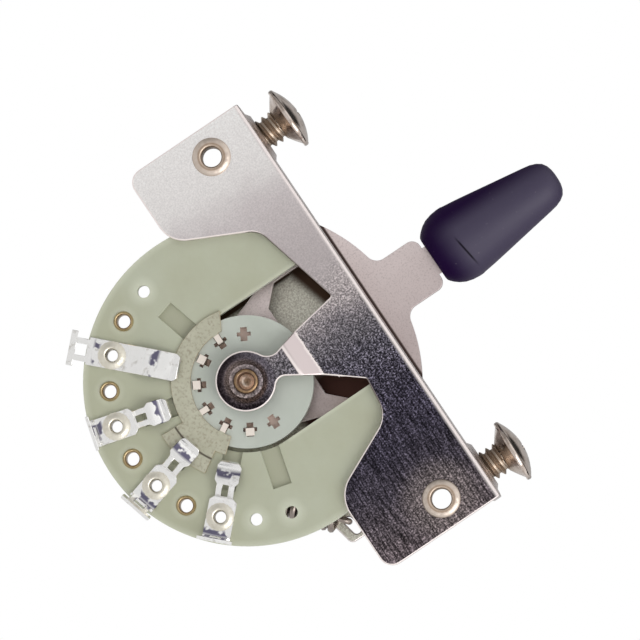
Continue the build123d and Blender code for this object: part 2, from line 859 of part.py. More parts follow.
# Extension spring: coils between the arm's end and the ear, a loop below, a side hook above
eye_x = ear_x - (ear_slot / 2 - ear_slot_width / 2) * cos(radians(ear_tilt))
eye_z = ear_z - (ear_slot / 2 - ear_slot_width / 2) * sin(radians(ear_tilt))
low = Vector(arm_hook_x, (arm_front + arm_back) / 2, pivot_z + arm_hook_z)
high = Vector(eye_x, low.Y, pivot_z + eye_z)
spring_place = Plane(origin=low, x_dir=(0, 1, 0), z_dir=high - low)
span = (high - low).length
mean_r = spring_r - wire_r
body_start = mean_r + hook_leg
body = span - body_start - hook_rise
hook_end = rear_y + 0.25 + wire_r - low.Y
with BuildPart() as spring:
    with BuildLine(Plane.XY.offset(body_start)) as coil:
        Helix(pitch=body / spring_turns, height=body, radius=mean_r)
    with BuildSketch(Plane(origin=coil.line @ 0, z_dir=coil.line % 0)):
        RegularPolygon(wire_r, 8)
    sweep(path=coil.line, is_frenet=True)
    with BuildLine(Plane.XZ) as loop:
        Line((mean_r, body_start), (mean_r, mean_r))
        ThreePointArc((mean_r, mean_r), (0, 0), (-mean_r, mean_r))
        Line((-mean_r, mean_r), (-mean_r, mean_r + 0.7 * hook_leg))
    with BuildSketch(Plane(origin=loop.line @ 0, z_dir=loop.line % 0)):
        Circle(wire_r - 0.01)
    sweep(path=loop.line)
    with BuildLine(Plane.XZ) as hook:
        FilletPolyline(
            (mean_r, span - hook_rise),
            (mean_r, span),
            (hook_end, span),
            (hook_end, span - 1.5),
            radius=0.6,
        )
    with BuildSketch(Plane(origin=hook.line @ 0, z_dir=hook.line % 0)):
        Circle(wire_r - 0.01)
    sweep(path=hook.line)
export(Location(spring_place) * spring.part, "index_spring")
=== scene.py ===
import math
from functools import partial
import bpy
from mathutils import Matrix, Vector


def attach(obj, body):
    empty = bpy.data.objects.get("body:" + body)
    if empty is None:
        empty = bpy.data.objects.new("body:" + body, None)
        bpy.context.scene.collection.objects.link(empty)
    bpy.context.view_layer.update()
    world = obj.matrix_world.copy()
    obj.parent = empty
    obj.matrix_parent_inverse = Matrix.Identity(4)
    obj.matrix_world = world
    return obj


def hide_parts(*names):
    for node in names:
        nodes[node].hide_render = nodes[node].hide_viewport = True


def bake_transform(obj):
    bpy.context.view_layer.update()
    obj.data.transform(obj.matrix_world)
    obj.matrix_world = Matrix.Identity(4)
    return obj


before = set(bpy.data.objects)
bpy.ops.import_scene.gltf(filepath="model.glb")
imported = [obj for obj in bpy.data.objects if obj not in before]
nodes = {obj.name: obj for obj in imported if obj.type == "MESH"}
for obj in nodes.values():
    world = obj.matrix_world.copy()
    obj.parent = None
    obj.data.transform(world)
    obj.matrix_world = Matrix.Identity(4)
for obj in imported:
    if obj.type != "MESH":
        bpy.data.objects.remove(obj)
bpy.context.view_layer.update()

# Folded frame
# One stamping of 1 mm steel, blanked, folded to a channel and nickel plated in a barrel.
# The blanked edges are slightly rounded, and each has its bright rim painted on as a highlight.
MM = 0.001
PIVOT_Z = -15.2 * MM
SHARP = 38
DIMPLE_RIM = 2.6 * MM


def pick(*pieces):
    """Selects these pieces only, with the first one active."""
    bpy.ops.object.select_all(action="DESELECT")
    for piece in pieces:
        piece.select_set(True)
    bpy.context.view_layer.objects.active = pieces[0]


def edit(piece, select="SELECT"):
    """Opens a piece's mesh with all or none of it selected."""
    pick(piece)
    bpy.ops.object.mode_set(mode="EDIT")
    bpy.ops.mesh.select_mode(type="VERT")
    bpy.ops.mesh.select_all(action=select)


def close_edit():
    bpy.ops.object.mode_set(mode="OBJECT")


def smooth(piece, degrees=35):
    pick(piece)
    bpy.ops.object.shade_smooth_by_angle(angle=math.radians(degrees))


def apply_modifiers(piece):
    bpy.context.view_layer.objects.active = piece
    for modifier in list(piece.modifiers):
        bpy.ops.object.modifier_apply(modifier=modifier.name)


def duplicate(source, name):
    copy = bpy.data.objects.new(name, source.data.copy())
    bpy.context.scene.collection.objects.link(copy)
    return copy


def round_sharp(piece, width_mm, steps, degrees):
    """Adds a bevel on the edges sharper than an angle, still to be applied."""
    bevel = piece.modifiers.new("edge", "BEVEL")
    bevel.width = width_mm * MM
    bevel.segments = steps
    bevel.limit_method = "ANGLE"
    bevel.angle_limit = math.radians(degrees)
    return bevel


def rounded_copy(name, node, body, edge_mm, steps=2, reshape=None, share_at=None):
    """A copy of a CAD node with its loose triangles merged and its sharp edges rounded.

    reshape alters the merged mesh first, and share_at gives the share of edge_mm at a place.
    """
    piece = duplicate(nodes[node], name)
    edit(piece)
    bpy.ops.mesh.remove_doubles(threshold=0.000001)
    close_edit()
    if reshape:
        reshape(piece)
    edit(piece)
    bpy.ops.mesh.remove_doubles(threshold=0.000001)
    bpy.ops.mesh.dissolve_limited(angle_limit=math.radians(0.3))
    close_edit()
    bevel = round_sharp(piece, edge_mm, steps, SHARP)
    if share_at:
        edit(piece, "DESELECT")
        bpy.ops.mesh.select_mode(type="EDGE")
        bpy.ops.mesh.edges_select_sharp(sharpness=math.radians(SHARP))
        close_edit()
        shares = piece.data.attributes.new("bevel_weight_edge", "FLOAT", "EDGE")
        for edge in piece.data.edges:
            if edge.select:
                start, end = (piece.data.vertices[corner].co for corner in edge.vertices)
                shares.data[edge.index].value = share_at((start + end) / 2)
        bevel.limit_method = "WEIGHT"
        bevel.use_clamp_overlap = False
    apply_modifiers(piece)
    smooth(piece)
    even = piece.modifiers.new("even", "WEIGHTED_NORMAL")
    even.keep_sharp = True
    even.weight = 100
    apply_modifiers(piece)
    if body:
        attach(piece, body)
    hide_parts(node)
    return piece


def linear(code):
    """An sRGB hex colour as the linear colour that a shader takes."""
    parts = [int(code[i : i + 2], 16) / 255 for i in (1, 3, 5)]
    rgb = (c / 12.92 if c <= 0.04045 else ((c + 0.055) / 1.055) ** 2.4 for c in parts)
    return (*rgb, 1.0)


def feed(node, inputs):
    """Fills inputs of a node with numbers, hex colours, sockets or other nodes' results."""
    for name, value in inputs.items():
        if isinstance(value, bpy.types.Node):
            value = next(out for out in value.outputs if out.enabled)
        if isinstance(value, bpy.types.NodeSocket):
            node.id_data.links.new(value, node.inputs[name])
        else:
            node.inputs[name].default_value = linear(value) if isinstance(value, str) else value


def add_node(owner, kind, inputs=None, **settings):
    """Adds a shader node with its settings and links. Its kind is the type without ShaderNode."""
    made = owner.node_tree.nodes.new("ShaderNode" + kind)
    for name, value in settings.items():
        setattr(made, name, value)
    feed(made, inputs or {})
    return made


def fill_ramp(ramp, first, last, stops):
    """Colours both ends of a ramp, and puts stops of (place, colour) between them."""
    elements = ramp.color_ramp.elements
    for at, code in stops:
        elements.new(at).color = linear(code)
    elements[0].color = linear(first)
    elements[-1].color = linear(last)


def new_material(name):
    """A new material, its shader node, its object coordinates in metres, and its own add()."""
    material = bpy.data.materials.new(name)
    material.use_nodes = True
    shader = material.node_tree.nodes["Principled BSDF"]
    add = partial(add_node, material)
    return material, shader, add("TexCoord").outputs["Object"], add


def cover(material, *pieces):
    for piece in pieces:
        piece.data.materials.clear()
        piece.data.materials.append(material)


def frame_edge_share(place):
    """Full rounding on the blanked edges, little in the pivot's dimple and bores."""
    return 0.12 if math.hypot(place.x, place.z - PIVOT_Z) < DIMPLE_RIM else 1.0


frame_piece = rounded_copy(
    "folded_frame", "frame", "switch_body", 0.14, share_at=frame_edge_share
)

EYELET_X = 21.3 * MM
EYELET_Z = -5.25 * MM

# Nickel plate over rolled steel. The front flange's colour is a painted reflection, bright and frosty
# at one end and turning over a few millimetres into a dark scratched mirror, broken by pits drawn
# about
# 0.2 mm apart.
nickel, shader, place, add = new_material("barrel_plated_nickel")
x, y, z = add("SeparateXYZ", {0: place}).outputs
flat_normal = add("NewGeometry")
_, ny, nz = add("SeparateXYZ", {0: flat_normal.outputs["True Normal"]}).outputs
front = add("MapRange", {"Value": ny, "From Min": -0.955, "From Max": -0.985})
on_flange = add("MapRange", {"Value": y, "From Min": -0.0046, "From Max": -0.0048})
below_face = add("MapRange", {"Value": z, "From Min": -0.0003, "From Max": -0.0006})
# Painted reflection zone: the front face of the front flange below the fold, and later the boss
worn = add("Math", {0: front, 1: on_flange}, operation="MULTIPLY")
worn = add("Math", {0: worn, 1: below_face}, operation="MULTIPLY")
# Painted reflection: the tone runs from bright and frosty at one end to a dark mirror at the other
cloud = add("TexNoise", {"Vector": place, "Scale": 330.0, "Detail": 4.0, "Roughness": 0.6})
slanted = add("Math", {0: z, 1: -0.09, 2: x}, operation="MULTIPLY_ADD")
along = add("Math", {0: cloud, 1: 0.004, 2: slanted}, operation="MULTIPLY_ADD")
share = add("MapRange", {"Value": along, "From Min": -0.0221, "From Max": 0.0267})
flange_tone = add("ValToRGB", {0: share})
fill_ramp(flange_tone, "#FAF7F5", "#524A4D", (
    (0.13, "#F0ECEA"), (0.21, "#D6CECE"), (0.29, "#C9C0C0"), (0.38, "#C1B8B8"), (0.45, "#B4ABAB"),
    (0.5, "#827C80"), (0.53, "#69656A"), (0.58, "#4E4B53"), (0.64, "#3E3B44"), (0.7, "#33303A"),
    (0.79, "#302D36"), (0.87, "#37333A"), (0.97, "#4C4548"),
))
# Lighter grey round the right eyelet, over the painted dark reflection
haze = add("VectorMath", {0: place, 1: (EYELET_X, -0.0055, EYELET_Z)}, operation="DISTANCE")
haze = add(
    "MapRange",
    {"Value": haze, "From Min": 0.005, "From Max": 0.0021, "To Max": 0.42},
    interpolation_type="SMOOTHSTEP",
)
flange_tone = add("Mix", {0: haze, 6: flange_tone, 7: "#7F7573"}, data_type="RGBA")
# Painted shade and reflection on the boss round the pivot: grey in the dimple, near black outside it,
# lighter up towards the neck
from_pivot = add("VectorMath", {0: place, 1: (0.0, -0.0061, PIVOT_Z)}, operation="DISTANCE")
reach = add("MapRange", {"Value": from_pivot, "From Max": 0.0033})
boss_tone = add("ValToRGB", {0: reach})
fill_ramp(boss_tone, "#4A3F39", "#1E181D", (
    (0.4, "#4A3F39"), (0.45, "#847977"), (0.515, "#988C8A"), (0.56, "#9A8E8C"), (0.62, "#837877"),
    (0.68, "#655B5B"), (0.73, "#463E41"), (0.8, "#2E282B"), (0.88, "#241E22"),
))
up_neck = add("MapRange", {"Value": z, "From Min": -0.0153, "From Max": -0.0121, "To Max": 0.75})
boss_tone = add("Mix", {0: up_neck, 6: boss_tone, 7: "#77717A"}, data_type="RGBA")
boss = add("MapRange", {"Value": from_pivot, "From Min": 0.0032, "From Max": 0.00295})
boss = add("Math", {0: boss, 1: on_flange}, operation="MULTIPLY")
dark_tone = add("Mix", {0: boss, 6: flange_tone, 7: boss_tone}, data_type="RGBA")
worn = add("Math", {0: worn, 1: boss}, operation="MAXIMUM")
# Pits, faint on the bright end and strong on the dark one
pits = add("TexNoise", {"Vector": place, "Scale": 5600.0, "Roughness": 0.7})
pit = add(
    "MapRange", {"Value": pits, "From Min": 0.32, "From Max": 0.68, "To Min": -1.0, "To Max": 1.0}
)
strength = add(
    "MapRange",
    {"Value": along, "From Min": -0.004, "From Max": 0.0085, "To Min": 0.06, "To Max": 1.15},
)
power = add("Math", {0: pit, 1: strength}, operation="MULTIPLY")
calmer = add(
    "MapRange", {"Value": along, "From Min": 0.009, "From Max": 0.018, "To Min": 1.0, "To Max": 0.6}
)
power = add("Math", {0: power, 1: calmer}, operation="MULTIPLY")
calm_boss = add("MapRange", {"Value": boss, "To Min": 1.0, "To Max": 0.7})
power = add("Math", {0: power, 1: calm_boss}, operation="MULTIPLY")
speckle = add("Math", {0: 6.5, 1: power}, operation="POWER")
# Brush marks about 3 mm long and 0.1 mm wide in two directions, coarser than real hairlines
hair_sets = []
for rise, grain_length, grain_width in ((18, 420.0, 5200.0), (3, 300.0, 3600.0)):
    lie = add(
        "Mapping",
        {
            "Vector": place, "Rotation": (0.0, math.radians(rise), 0.0),
            "Scale": (grain_length, 1.0, grain_width),
        },
    )
    hairs = add("TexNoise", {"Vector": lie, "Scale": 1.0, "Roughness": 0.55})
    hair_sets.append(hairs)
both_ways = add("Math", {0: hair_sets[0], 1: hair_sets[1]}, operation="ADD")
scratch = add(
    "MapRange",
    {"Value": both_ways, "From Min": 0.8, "From Max": 1.35, "To Min": -0.55, "To Max": 2.3},
)
polished = add("MapRange", {"Value": along, "From Min": 0.004, "From Max": 0.014})
clear_of_haze = add("MapRange", {"Value": haze, "From Max": 0.42, "To Min": 1.0, "To Max": 0.45})
polished = add("Math", {0: polished, 1: clear_of_haze}, operation="MULTIPLY")
scratch = add("Math", {0: scratch, 1: polished, 2: 1.0}, operation="MULTIPLY_ADD")
broken = add("Math", {0: speckle, 1: scratch}, operation="MULTIPLY")
dark_tone = add("VectorMath", {0: dark_tone, "Scale": broken}, operation="SCALE")
# Everywhere else the plate is even and frosty
# The rear flange's inner face, seen through the lever's window, is lined in a pale greenish grey: a
# painted reflection of the board
inner = add("MapRange", {"Value": y, "From Min": 0.0049, "From Max": 0.0047})
rear = add("MapRange", {"Value": y, "From Min": 0.0042, "From Max": 0.0044})
inner = add("Math", {0: inner, 1: rear}, operation="MULTIPLY")
inner = add("Math", {0: inner, 1: front}, operation="MULTIPLY")
frost = add("Mix", {0: pits, 6: "#D5CCC9", 7: "#F0E9E6"}, data_type="RGBA")
# Painted shade: the lining turns dark brown to the right of the window
greased = add("MapRange", {"Value": x, "From Min": 0.0015, "From Max": 0.0035})
in_window = add("MapRange", {"Value": z, "From Min": -0.0135, "From Max": -0.0125})
greased = add("Math", {0: greased, 1: in_window}, operation="MULTIPLY")
motes = add("MapRange", {"Value": pits, "From Min": 0.35, "From Max": 0.65})
lining = add("Mix", {0: motes, 6: "#BBB5A8", 7: "#EAE9DC"}, data_type="RGBA")
# Painted shadow: a dark brown band on the lining just under the front flange's edge and beside the
# window's left side
edge_height = add("Math", {0: x, 1: 0.289, 2: -0.00225}, operation="MULTIPLY_ADD")
under_edge = add("Math", {0: z, 1: edge_height}, operation="SUBTRACT")
shaded = add(
    "MapRange",
    {"Value": under_edge, "From Min": -0.0018, "From Max": -0.0006},
    interpolation_type="SMOOTHSTEP",
)
by_window = add("MapRange", {"Value": x, "From Min": -0.0071, "From Max": -0.00745})
shaded = add("Math", {0: shaded, 1: by_window}, operation="MAXIMUM")
lining = add("Mix", {0: shaded, 6: lining, 7: "#46352A"}, data_type="RGBA")
lining = add("Mix", {0: greased, 6: lining, 7: "#543A34"}, data_type="RGBA")
frost = add("Mix", {0: inner, 6: frost, 7: lining}, data_type="RGBA")
base = add("Mix", {0: worn, 6: frost, 7: dark_tone}, data_type="RGBA")
# Painted highlights: the blanked edges of the front flange are painted white with less metal, and so
# are both creases of the joggled tab
turned_away = add("MapRange", {"Value": ny, "From Min": -0.985, "From Max": -0.955})
still_ahead = add("MapRange", {"Value": ny, "From Min": -0.05, "From Max": -0.2})
below_fold = add("MapRange", {"Value": z, "From Min": -0.00048, "From Max": -0.00052})
still_ahead = add("Math", {0: still_ahead, 1: below_fold}, operation="MULTIPLY")
fold_start = add("MapRange", {"Value": ny, "From Min": -0.62, "From Max": -0.68})
still_ahead = add("Math", {0: still_ahead, 1: fold_start}, operation="MAXIMUM")
rim = add("Math", {0: turned_away, 1: still_ahead}, operation="MULTIPLY")
rim = add("Math", {0: rim, 1: on_flange}, operation="MULTIPLY")
slope = add("MapRange", {"Value": z, "From Min": -0.0101, "From Max": -0.01005})
slope_end = add("MapRange", {"Value": z, "From Min": -0.00825, "From Max": -0.0083})
slope = add("Math", {0: slope, 1: slope_end}, operation="MULTIPLY")
beside = add("Math", {0: x}, operation="ABSOLUTE")
in_tab = add("MapRange", {"Value": beside, "From Min": 0.0061, "From Max": 0.006})
in_tab = add("Math", {0: in_tab, 1: on_flange}, operation="MULTIPLY")
slope = add("Math", {0: slope, 1: in_tab}, operation="MULTIPLY")
not_slope = add("Math", {0: 1.0, 1: slope}, operation="SUBTRACT")
base = add("Mix", {0: slope, 6: base, 7: "#DCCFCE"}, data_type="RGBA")
rim = add("Math", {0: rim, 1: not_slope}, operation="MULTIPLY")
out_of_dimple = add("MapRange", {"Value": from_pivot, "From Min": 0.0026, "From Max": 0.0027})
rim = add("Math", {0: rim, 1: out_of_dimple}, operation="MULTIPLY")
# Painted highlight lines along both creases, the upper one broken into dots
for height, half, dots in ((-0.0101, 0.00012, 0.0), (-0.0082, 0.00013, 1.0)):
    off_crease = add("Math", {0: z, 1: height}, operation="SUBTRACT")
    off_crease = add("Math", {0: off_crease}, operation="ABSOLUTE")
    on_crease = add(
        "MapRange", {"Value": off_crease, "From Min": half + 0.00008, "From Max": half - 0.00004}
    )
    if dots:
        chipped = add("MapRange", {"Value": pits, "From Min": 0.46, "From Max": 0.56})
        on_crease = add("Math", {0: on_crease, 1: chipped}, operation="MULTIPLY")
    on_crease = add("Math", {0: on_crease, 1: in_tab}, operation="MULTIPLY")
    rim = add("Math", {0: rim, 1: on_crease}, operation="MAXIMUM")
# Painted shade: the long edge over the wafer faces down, and is painted brown instead of white
under = add("MapRange", {"Value": nz, "From Min": -0.25, "From Max": -0.4})
high = add("MapRange", {"Value": z, "From Min": -0.0068, "From Max": -0.0064})
under = add("Math", {0: under, 1: high}, operation="MULTIPLY")
under = add("Math", {0: under, 1: on_flange}, operation="MULTIPLY")
not_under = add("Math", {0: 1.0, 1: under}, operation="SUBTRACT")
rim = add("Math", {0: rim, 1: not_under}, operation="MULTIPLY")
base = add("Mix", {0: under, 6: base, 7: "#5A4A46"}, data_type="RGBA")
base = add("Mix", {0: rim, 6: base, 7: "#F4E9E6"}, data_type="RGBA")
metal_share = add("MapRange", {"Value": rim, "To Min": 1.0, "To Max": 0.25})
relief = add("Bump", {"Height": pits, "Strength": 0.3, "Distance": 0.00002})
feed(shader, {"Base Color": base, "Metallic": metal_share, "Roughness": 0.36, "Normal": relief})
cover(nickel, frame_piece)

# Frame eyelets
# Two hollow nickel-plated brass eyelets that clinch the wafer to the front flange.
# They are rolled over on the flange, and duller than the frame.
eyelets = rounded_copy("frame_eyelet_pair", "frame_eyelets", "switch_body", 0.06)

dull_nickel, shader, place, add = new_material("dull_nickel_on_brass")
mottle = add("TexNoise", {"Vector": place, "Scale": 1400.0, "Detail": 3.0, "Roughness": 0.6})
tone = add("Mix", {0: mottle, 6: "#C8BDB4", 7: "#F4EDE6"}, data_type="RGBA")
# Painted shade in rings: tan where the barrel turns into the bore, and brown where the flange meets
# the frame
eyelet_side = add("SeparateXYZ", {0: place})
mirrored = add("Math", {0: eyelet_side.outputs["X"]}, operation="ABSOLUTE")
sideways = add("Math", {0: mirrored, 1: EYELET_X}, operation="SUBTRACT")
upward = add("Math", {0: eyelet_side.outputs["Z"], 1: -EYELET_Z}, operation="ADD")
from_middle = add("CombineXYZ", {0: sideways, 1: upward, 2: 0.0})
from_middle = add("VectorMath", {0: from_middle}, operation="LENGTH")
share = add("MapRange", {"Value": from_middle, "From Min": 0.001, "From Max": 0.0021})
eyelet_rings = add("ValToRGB", {0: share})
fill_ramp(eyelet_rings, "#BBA78F", "#9C8D7F", (
    (0.18, "#E8DDD2"), (0.34, "#C5B2A0"), (0.46, "#F1E9E2"), (0.8, "#F6F0EA"), (0.94, "#D2C6BA"),
))
tone = add("Mix", {0: 1.0, 6: tone, 7: eyelet_rings}, data_type="RGBA", blend_type="MULTIPLY")
relief = add("Bump", {"Height": mottle, "Strength": 0.3, "Distance": 0.00004})
feed(shader, {"Base Color": tone, "Metallic": 1.0, "Roughness": 0.42, "Normal": relief})
cover(dull_nickel, eyelets)

# Mounting screws
# Two number 6 oval-head machine screws of nickel-plated steel, threads rolled at 32 to the inch.
# Each head has a pressed cross recess, and both screws lean a little in their tapped holes.
SCREW_X = 20.65
THREAD_PITCH = 25.4 / 32
THREAD_MAJOR = 1.72
THREAD_ROOT = 1.3
THREAD_TURNS = 9
THREAD_STEPS = 40
RUN_IN = 1.6
HEAD_R = 3.45
HEAD_RIM = 3.7
HEAD_UNDER = 2.3
HEAD_DOME = 1.1
SHANK_END = -2.65
RECESS_WING = (3.4 * MM, 0.72 * MM, 1.7 * MM)
RECESS_HEIGHT = 4.6 * MM
RECESS_TAPER = 0.35
RECESS_TURN = 20


def turned(name, rings, sides=48):
    """A turned shape: a circle drawn out through a list of (radius, height) in mm."""
    radius, height = rings[0]
    bpy.ops.mesh.primitive_circle_add(
        vertices=sides, radius=radius * MM, fill_type="NOTHING", location=(0, 0, height * MM)
    )
    piece = bpy.context.active_object
    piece.name = name
    bpy.ops.object.transform_apply(location=True, rotation=True, scale=True)
    edit(piece)
    for next_r, next_h in rings[1:]:
        rise = (0, 0, (next_h - height) * MM)
        bpy.ops.mesh.extrude_edges_move(TRANSFORM_OT_translate={"value": rise})
        grow = next_r / radius
        bpy.ops.transform.resize(value=(grow, grow, 1), center_override=(0, 0, next_h * MM))
        radius, height = next_r, next_h
    close_edit()
    return piece


def close_turned(piece):
    """Merges doubles, caps open rings and turns the faces outwards."""
    edit(piece)
    bpy.ops.mesh.remove_doubles(threshold=0.0000005)
    bpy.ops.mesh.select_all(action="DESELECT")
    bpy.ops.mesh.select_non_manifold(extend=False)
    bpy.ops.mesh.edge_face_add()
    bpy.ops.mesh.select_all(action="SELECT")
    bpy.ops.mesh.normals_make_consistent(inside=False)
    close_edit()


dome_r = (HEAD_R**2 + HEAD_DOME**2) / (2 * HEAD_DOME)
head_rings = [(THREAD_ROOT, HEAD_UNDER - 0.1), (THREAD_MAJOR - 0.1, HEAD_UNDER)]
head_rings += [(2.4, 2.82), (3.1, 3.34)]
for inside, above in ((0.14, -0.4), (0.03, -0.32), (0.0, -0.1), (0.03, 0.02), (0.12, 0.12)):
    head_rings.append((HEAD_R - inside, HEAD_RIM + above))
for r in (3.2, 2.9, 2.5, 2.0, 1.5, 1.0, 0.5, 0.05):
    head_rings.append((r, HEAD_RIM + HEAD_DOME - dome_r + math.sqrt(dome_r**2 - r**2)))
screw_head = turned("oval_head", head_rings, 64)
close_turned(screw_head)

# The thread is one pitch of its profile wound round the axis, then cut square at both ends
bpy.ops.mesh.primitive_circle_add(vertices=7, radius=THREAD_PITCH * MM / 2, fill_type="NOTHING")
screw_thread = bpy.context.active_object
screw_thread.name = "rolled_thread"
profile = [
    (THREAD_ROOT, 0.0), (THREAD_ROOT + 0.02, 0.12), (THREAD_MAJOR - 0.05, 0.33),
    (THREAD_MAJOR, 0.4), (THREAD_MAJOR - 0.05, 0.47), (THREAD_ROOT + 0.02, 0.68),
    (THREAD_ROOT, THREAD_PITCH),
]
for vertex, (r, h) in zip(screw_thread.data.vertices, profile):
    vertex.co = (r * MM, 0, (h + SHANK_END - RUN_IN) * MM)
edit(screw_thread, "DESELECT")
bpy.ops.mesh.select_mode(type="EDGE")
close_edit()
for edge in screw_thread.data.edges:
    edge.select = set(edge.vertices) == {0, len(profile) - 1}
bpy.ops.object.mode_set(mode="EDIT")
bpy.ops.mesh.delete(type="EDGE")
close_edit()
wind = screw_thread.modifiers.new("wind", "SCREW")
wind.angle = math.tau
wind.screw_offset = THREAD_PITCH * MM
wind.iterations = THREAD_TURNS
wind.steps = THREAD_STEPS
wind.render_steps = THREAD_STEPS
wind.use_merge_vertices = True
wind.merge_threshold = 0.000004
apply_modifiers(screw_thread)
for height, up in ((SHANK_END, True), (HEAD_UNDER + 0.02, False)):
    edit(screw_thread)
    bpy.ops.mesh.bisect(
        plane_co=(0, 0, height * MM), plane_no=(0, 0, 1),
        use_fill=True, clear_inner=up, clear_outer=not up,
    )
    close_edit()
close_turned(screw_thread)


def bar(name, size, turn=0.0):
    """A plain cutting bar, used up by a boolean."""
    bpy.ops.mesh.primitive_cube_add(size=1, rotation=(0, 0, turn))
    piece = bpy.context.active_object
    piece.name = name
    piece.scale = size
    bpy.ops.object.transform_apply(location=True, rotation=True, scale=True)
    return piece


def cut(piece, tool):
    carve = piece.modifiers.new("cut", "BOOLEAN")
    carve.operation = "DIFFERENCE"
    carve.solver = "EXACT"
    carve.object = tool
    apply_modifiers(piece)
    bpy.data.objects.remove(tool)


for quarter in (0, 1):
    wing = bar("recess_wing", RECESS_WING, math.radians(RECESS_TURN + 90 * quarter))
    for vertex in wing.data.vertices:
        if vertex.co.z < 0:
            vertex.co.x *= RECESS_TAPER
            vertex.co.y *= RECESS_TAPER
        vertex.co.z += RECESS_HEIGHT
    cut(screw_head, wing)
round_sharp(screw_head, 0.05, 2, 40)
apply_modifiers(screw_head)

screws = []
for side, lean, aside in ((-1, -1.0, 0.0), (1, 2.4, 0.3)):
    pick(duplicate(screw_head, "head_copy"), duplicate(screw_thread, "thread_copy"))
    bpy.ops.object.join()
    screw = bpy.context.active_object
    screw.name = "mounting_screw_left" if side < 0 else "mounting_screw_right"
    tilt = Matrix.Rotation(math.radians(lean), 4, "Y")
    screw.data.transform(Matrix.Translation(((side * SCREW_X + aside) * MM, 0, 0)) @ tilt)
    smooth(screw, 40)
    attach(screw, "switch_body")
    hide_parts("mounting_screws")
    screws.append(screw)
bpy.data.objects.remove(screw_head)
bpy.data.objects.remove(screw_thread)

# Bright nickel on cold-headed steel: a clean mirror with faint brown tarnish in its hollows
bright_nickel, shader, place, add = new_material("bright_nickel_screw_plate")
tarnish = add("TexNoise", {"Vector": place, "Scale": 900.0, "Detail": 4.0, "Roughness": 0.65})
stain = add("MapRange", {"Value": tarnish, "From Min": 0.42, "From Max": 0.72})
tone = add("Mix", {0: stain, 6: "#D8CBC2", 7: "#978373"}, data_type="RGBA")
height = add("SeparateXYZ", {0: place})
oily = add("MapRange", {"Value": height.outputs["Z"], "From Min": 0.0031, "From Max": 0.0022})
tone = add("Mix", {0: oily, 6: tone, 7: "#B3A393"}, data_type="RGBA")
gloss = add("MapRange", {"Value": oily, "To Min": 0.14, "To Max": 0.4})
feed(shader, {"Base Color": tone, "Metallic": 1.0, "Roughness": gloss})
cover(bright_nickel, *screws)

# Wafer
# The switch's board, punched from 1.6 mm epoxy glass-fibre sheet with milled blind pockets.
# It is translucent green-grey, paler on its sawn edges and round each punched hole.
board = rounded_copy("wafer_board", "wafer", "switch_body", 0.05, 1)

laminate, shader, place, add = new_material("epoxy_glass_laminate")
HOLE_CIRCLE = 14.25 * MM
x, y, z = add("SeparateXYZ", {0: place}).outputs
facing = add("SeparateXYZ", {0: place.node.outputs["Normal"]})
above = add("Math", {0: z, 1: PIVOT_Z}, operation="SUBTRACT")
below = add("Math", {0: above, 1: -1.0}, operation="MULTIPLY")
angle = add("Math", {0: x, 1: below}, operation="ARCTAN2")
across = add("CombineXYZ", {0: x, 1: above, 2: 0.0})
reach = add("VectorMath", {0: across}, operation="LENGTH")
step = math.radians(15)
past = add("Math", {0: angle, 1: step / 2}, operation="ADD")
nearest = add("Math", {0: past, 1: step}, operation="SNAP")
off = add("Math", {0: angle, 1: nearest}, operation="SUBTRACT")
aside = add("Math", {0: off, 1: HOLE_CIRCLE}, operation="MULTIPLY")
outward = add("Math", {0: reach, 1: HOLE_CIRCLE}, operation="SUBTRACT")
from_hole = add("CombineXYZ", {0: aside, 1: outward, 2: 0.0})
hole_distance = add("VectorMath", {0: from_hole}, operation="LENGTH")
halo = add("MapRange", {"Value": hole_distance, "From Min": 0.0017, "From Max": 0.0007})
swing = add("Math", {0: angle}, operation="ABSOLUTE")
holed = add(
    "MapRange", {"Value": swing, "From Min": math.radians(84), "From Max": math.radians(80)}
)
halo = add("Math", {0: halo, 1: holed}, operation="MULTIPLY")
rim = add("MapRange", {"Value": reach, "From Min": 0.0163, "From Max": 0.017})
slot_side = add("Math", {0: x}, operation="ABSOLUTE")
slot_rim = add("MapRange", {"Value": slot_side, "From Min": 0.00775, "From Max": 0.0073})
above_pivot = add("MapRange", {"Value": above, "From Min": 0.0, "From Max": 0.0004})
slot_rim = add("Math", {0: slot_rim, 1: above_pivot}, operation="MULTIPLY")
pale = add("Math", {0: rim, 1: slot_rim}, operation="MAXIMUM")
pale = add("Math", {0: pale, 1: halo}, operation="MAXIMUM")
pale = add("Math", {0: pale, 1: 0.55}, operation="MULTIPLY")
flatness = add("Math", {0: facing.outputs["Y"]}, operation="ABSOLUTE")
sawn = add("MapRange", {"Value": flatness, "From Min": 0.8, "From Max": 0.3})
pale = add("Math", {0: pale, 1: sawn}, operation="MAXIMUM")
resin = add("TexNoise", {"Vector": place, "Scale": 190.0, "Detail": 5.0, "Roughness": 0.6})
body_tone = add("Mix", {0: resin, 6: "#A8A88F", 7: "#BABFAC"}, data_type="RGBA")
low = add("MapRange", {"Value": above, "From Min": -0.004, "From Max": -0.013})
warm = add("Math", {0: low, 1: 0.6}, operation="MULTIPLY")
body_tone = add("Mix", {0: warm, 6: body_tone, 7: "#ABAC92"}, data_type="RGBA")
deep = add("MapRange", {"Value": y, "From Min": -0.0043, "From Max": -0.0041})
shallow = add("MapRange", {"Value": y, "From Min": -0.0033, "From Max": -0.0035})
pocket = add("Math", {0: deep, 1: shallow}, operation="MULTIPLY")
faced = add("Math", {0: 1.0, 1: sawn}, operation="SUBTRACT")
pocket = add("Math", {0: pocket, 1: faced}, operation="MULTIPLY")
body_tone = add("Mix", {0: pocket, 6: body_tone, 7: "#A6A791"}, data_type="RGBA")
board_tone = add("Mix", {0: pale, 6: body_tone, 7: "#D0D3C0"}, data_type="RGBA")
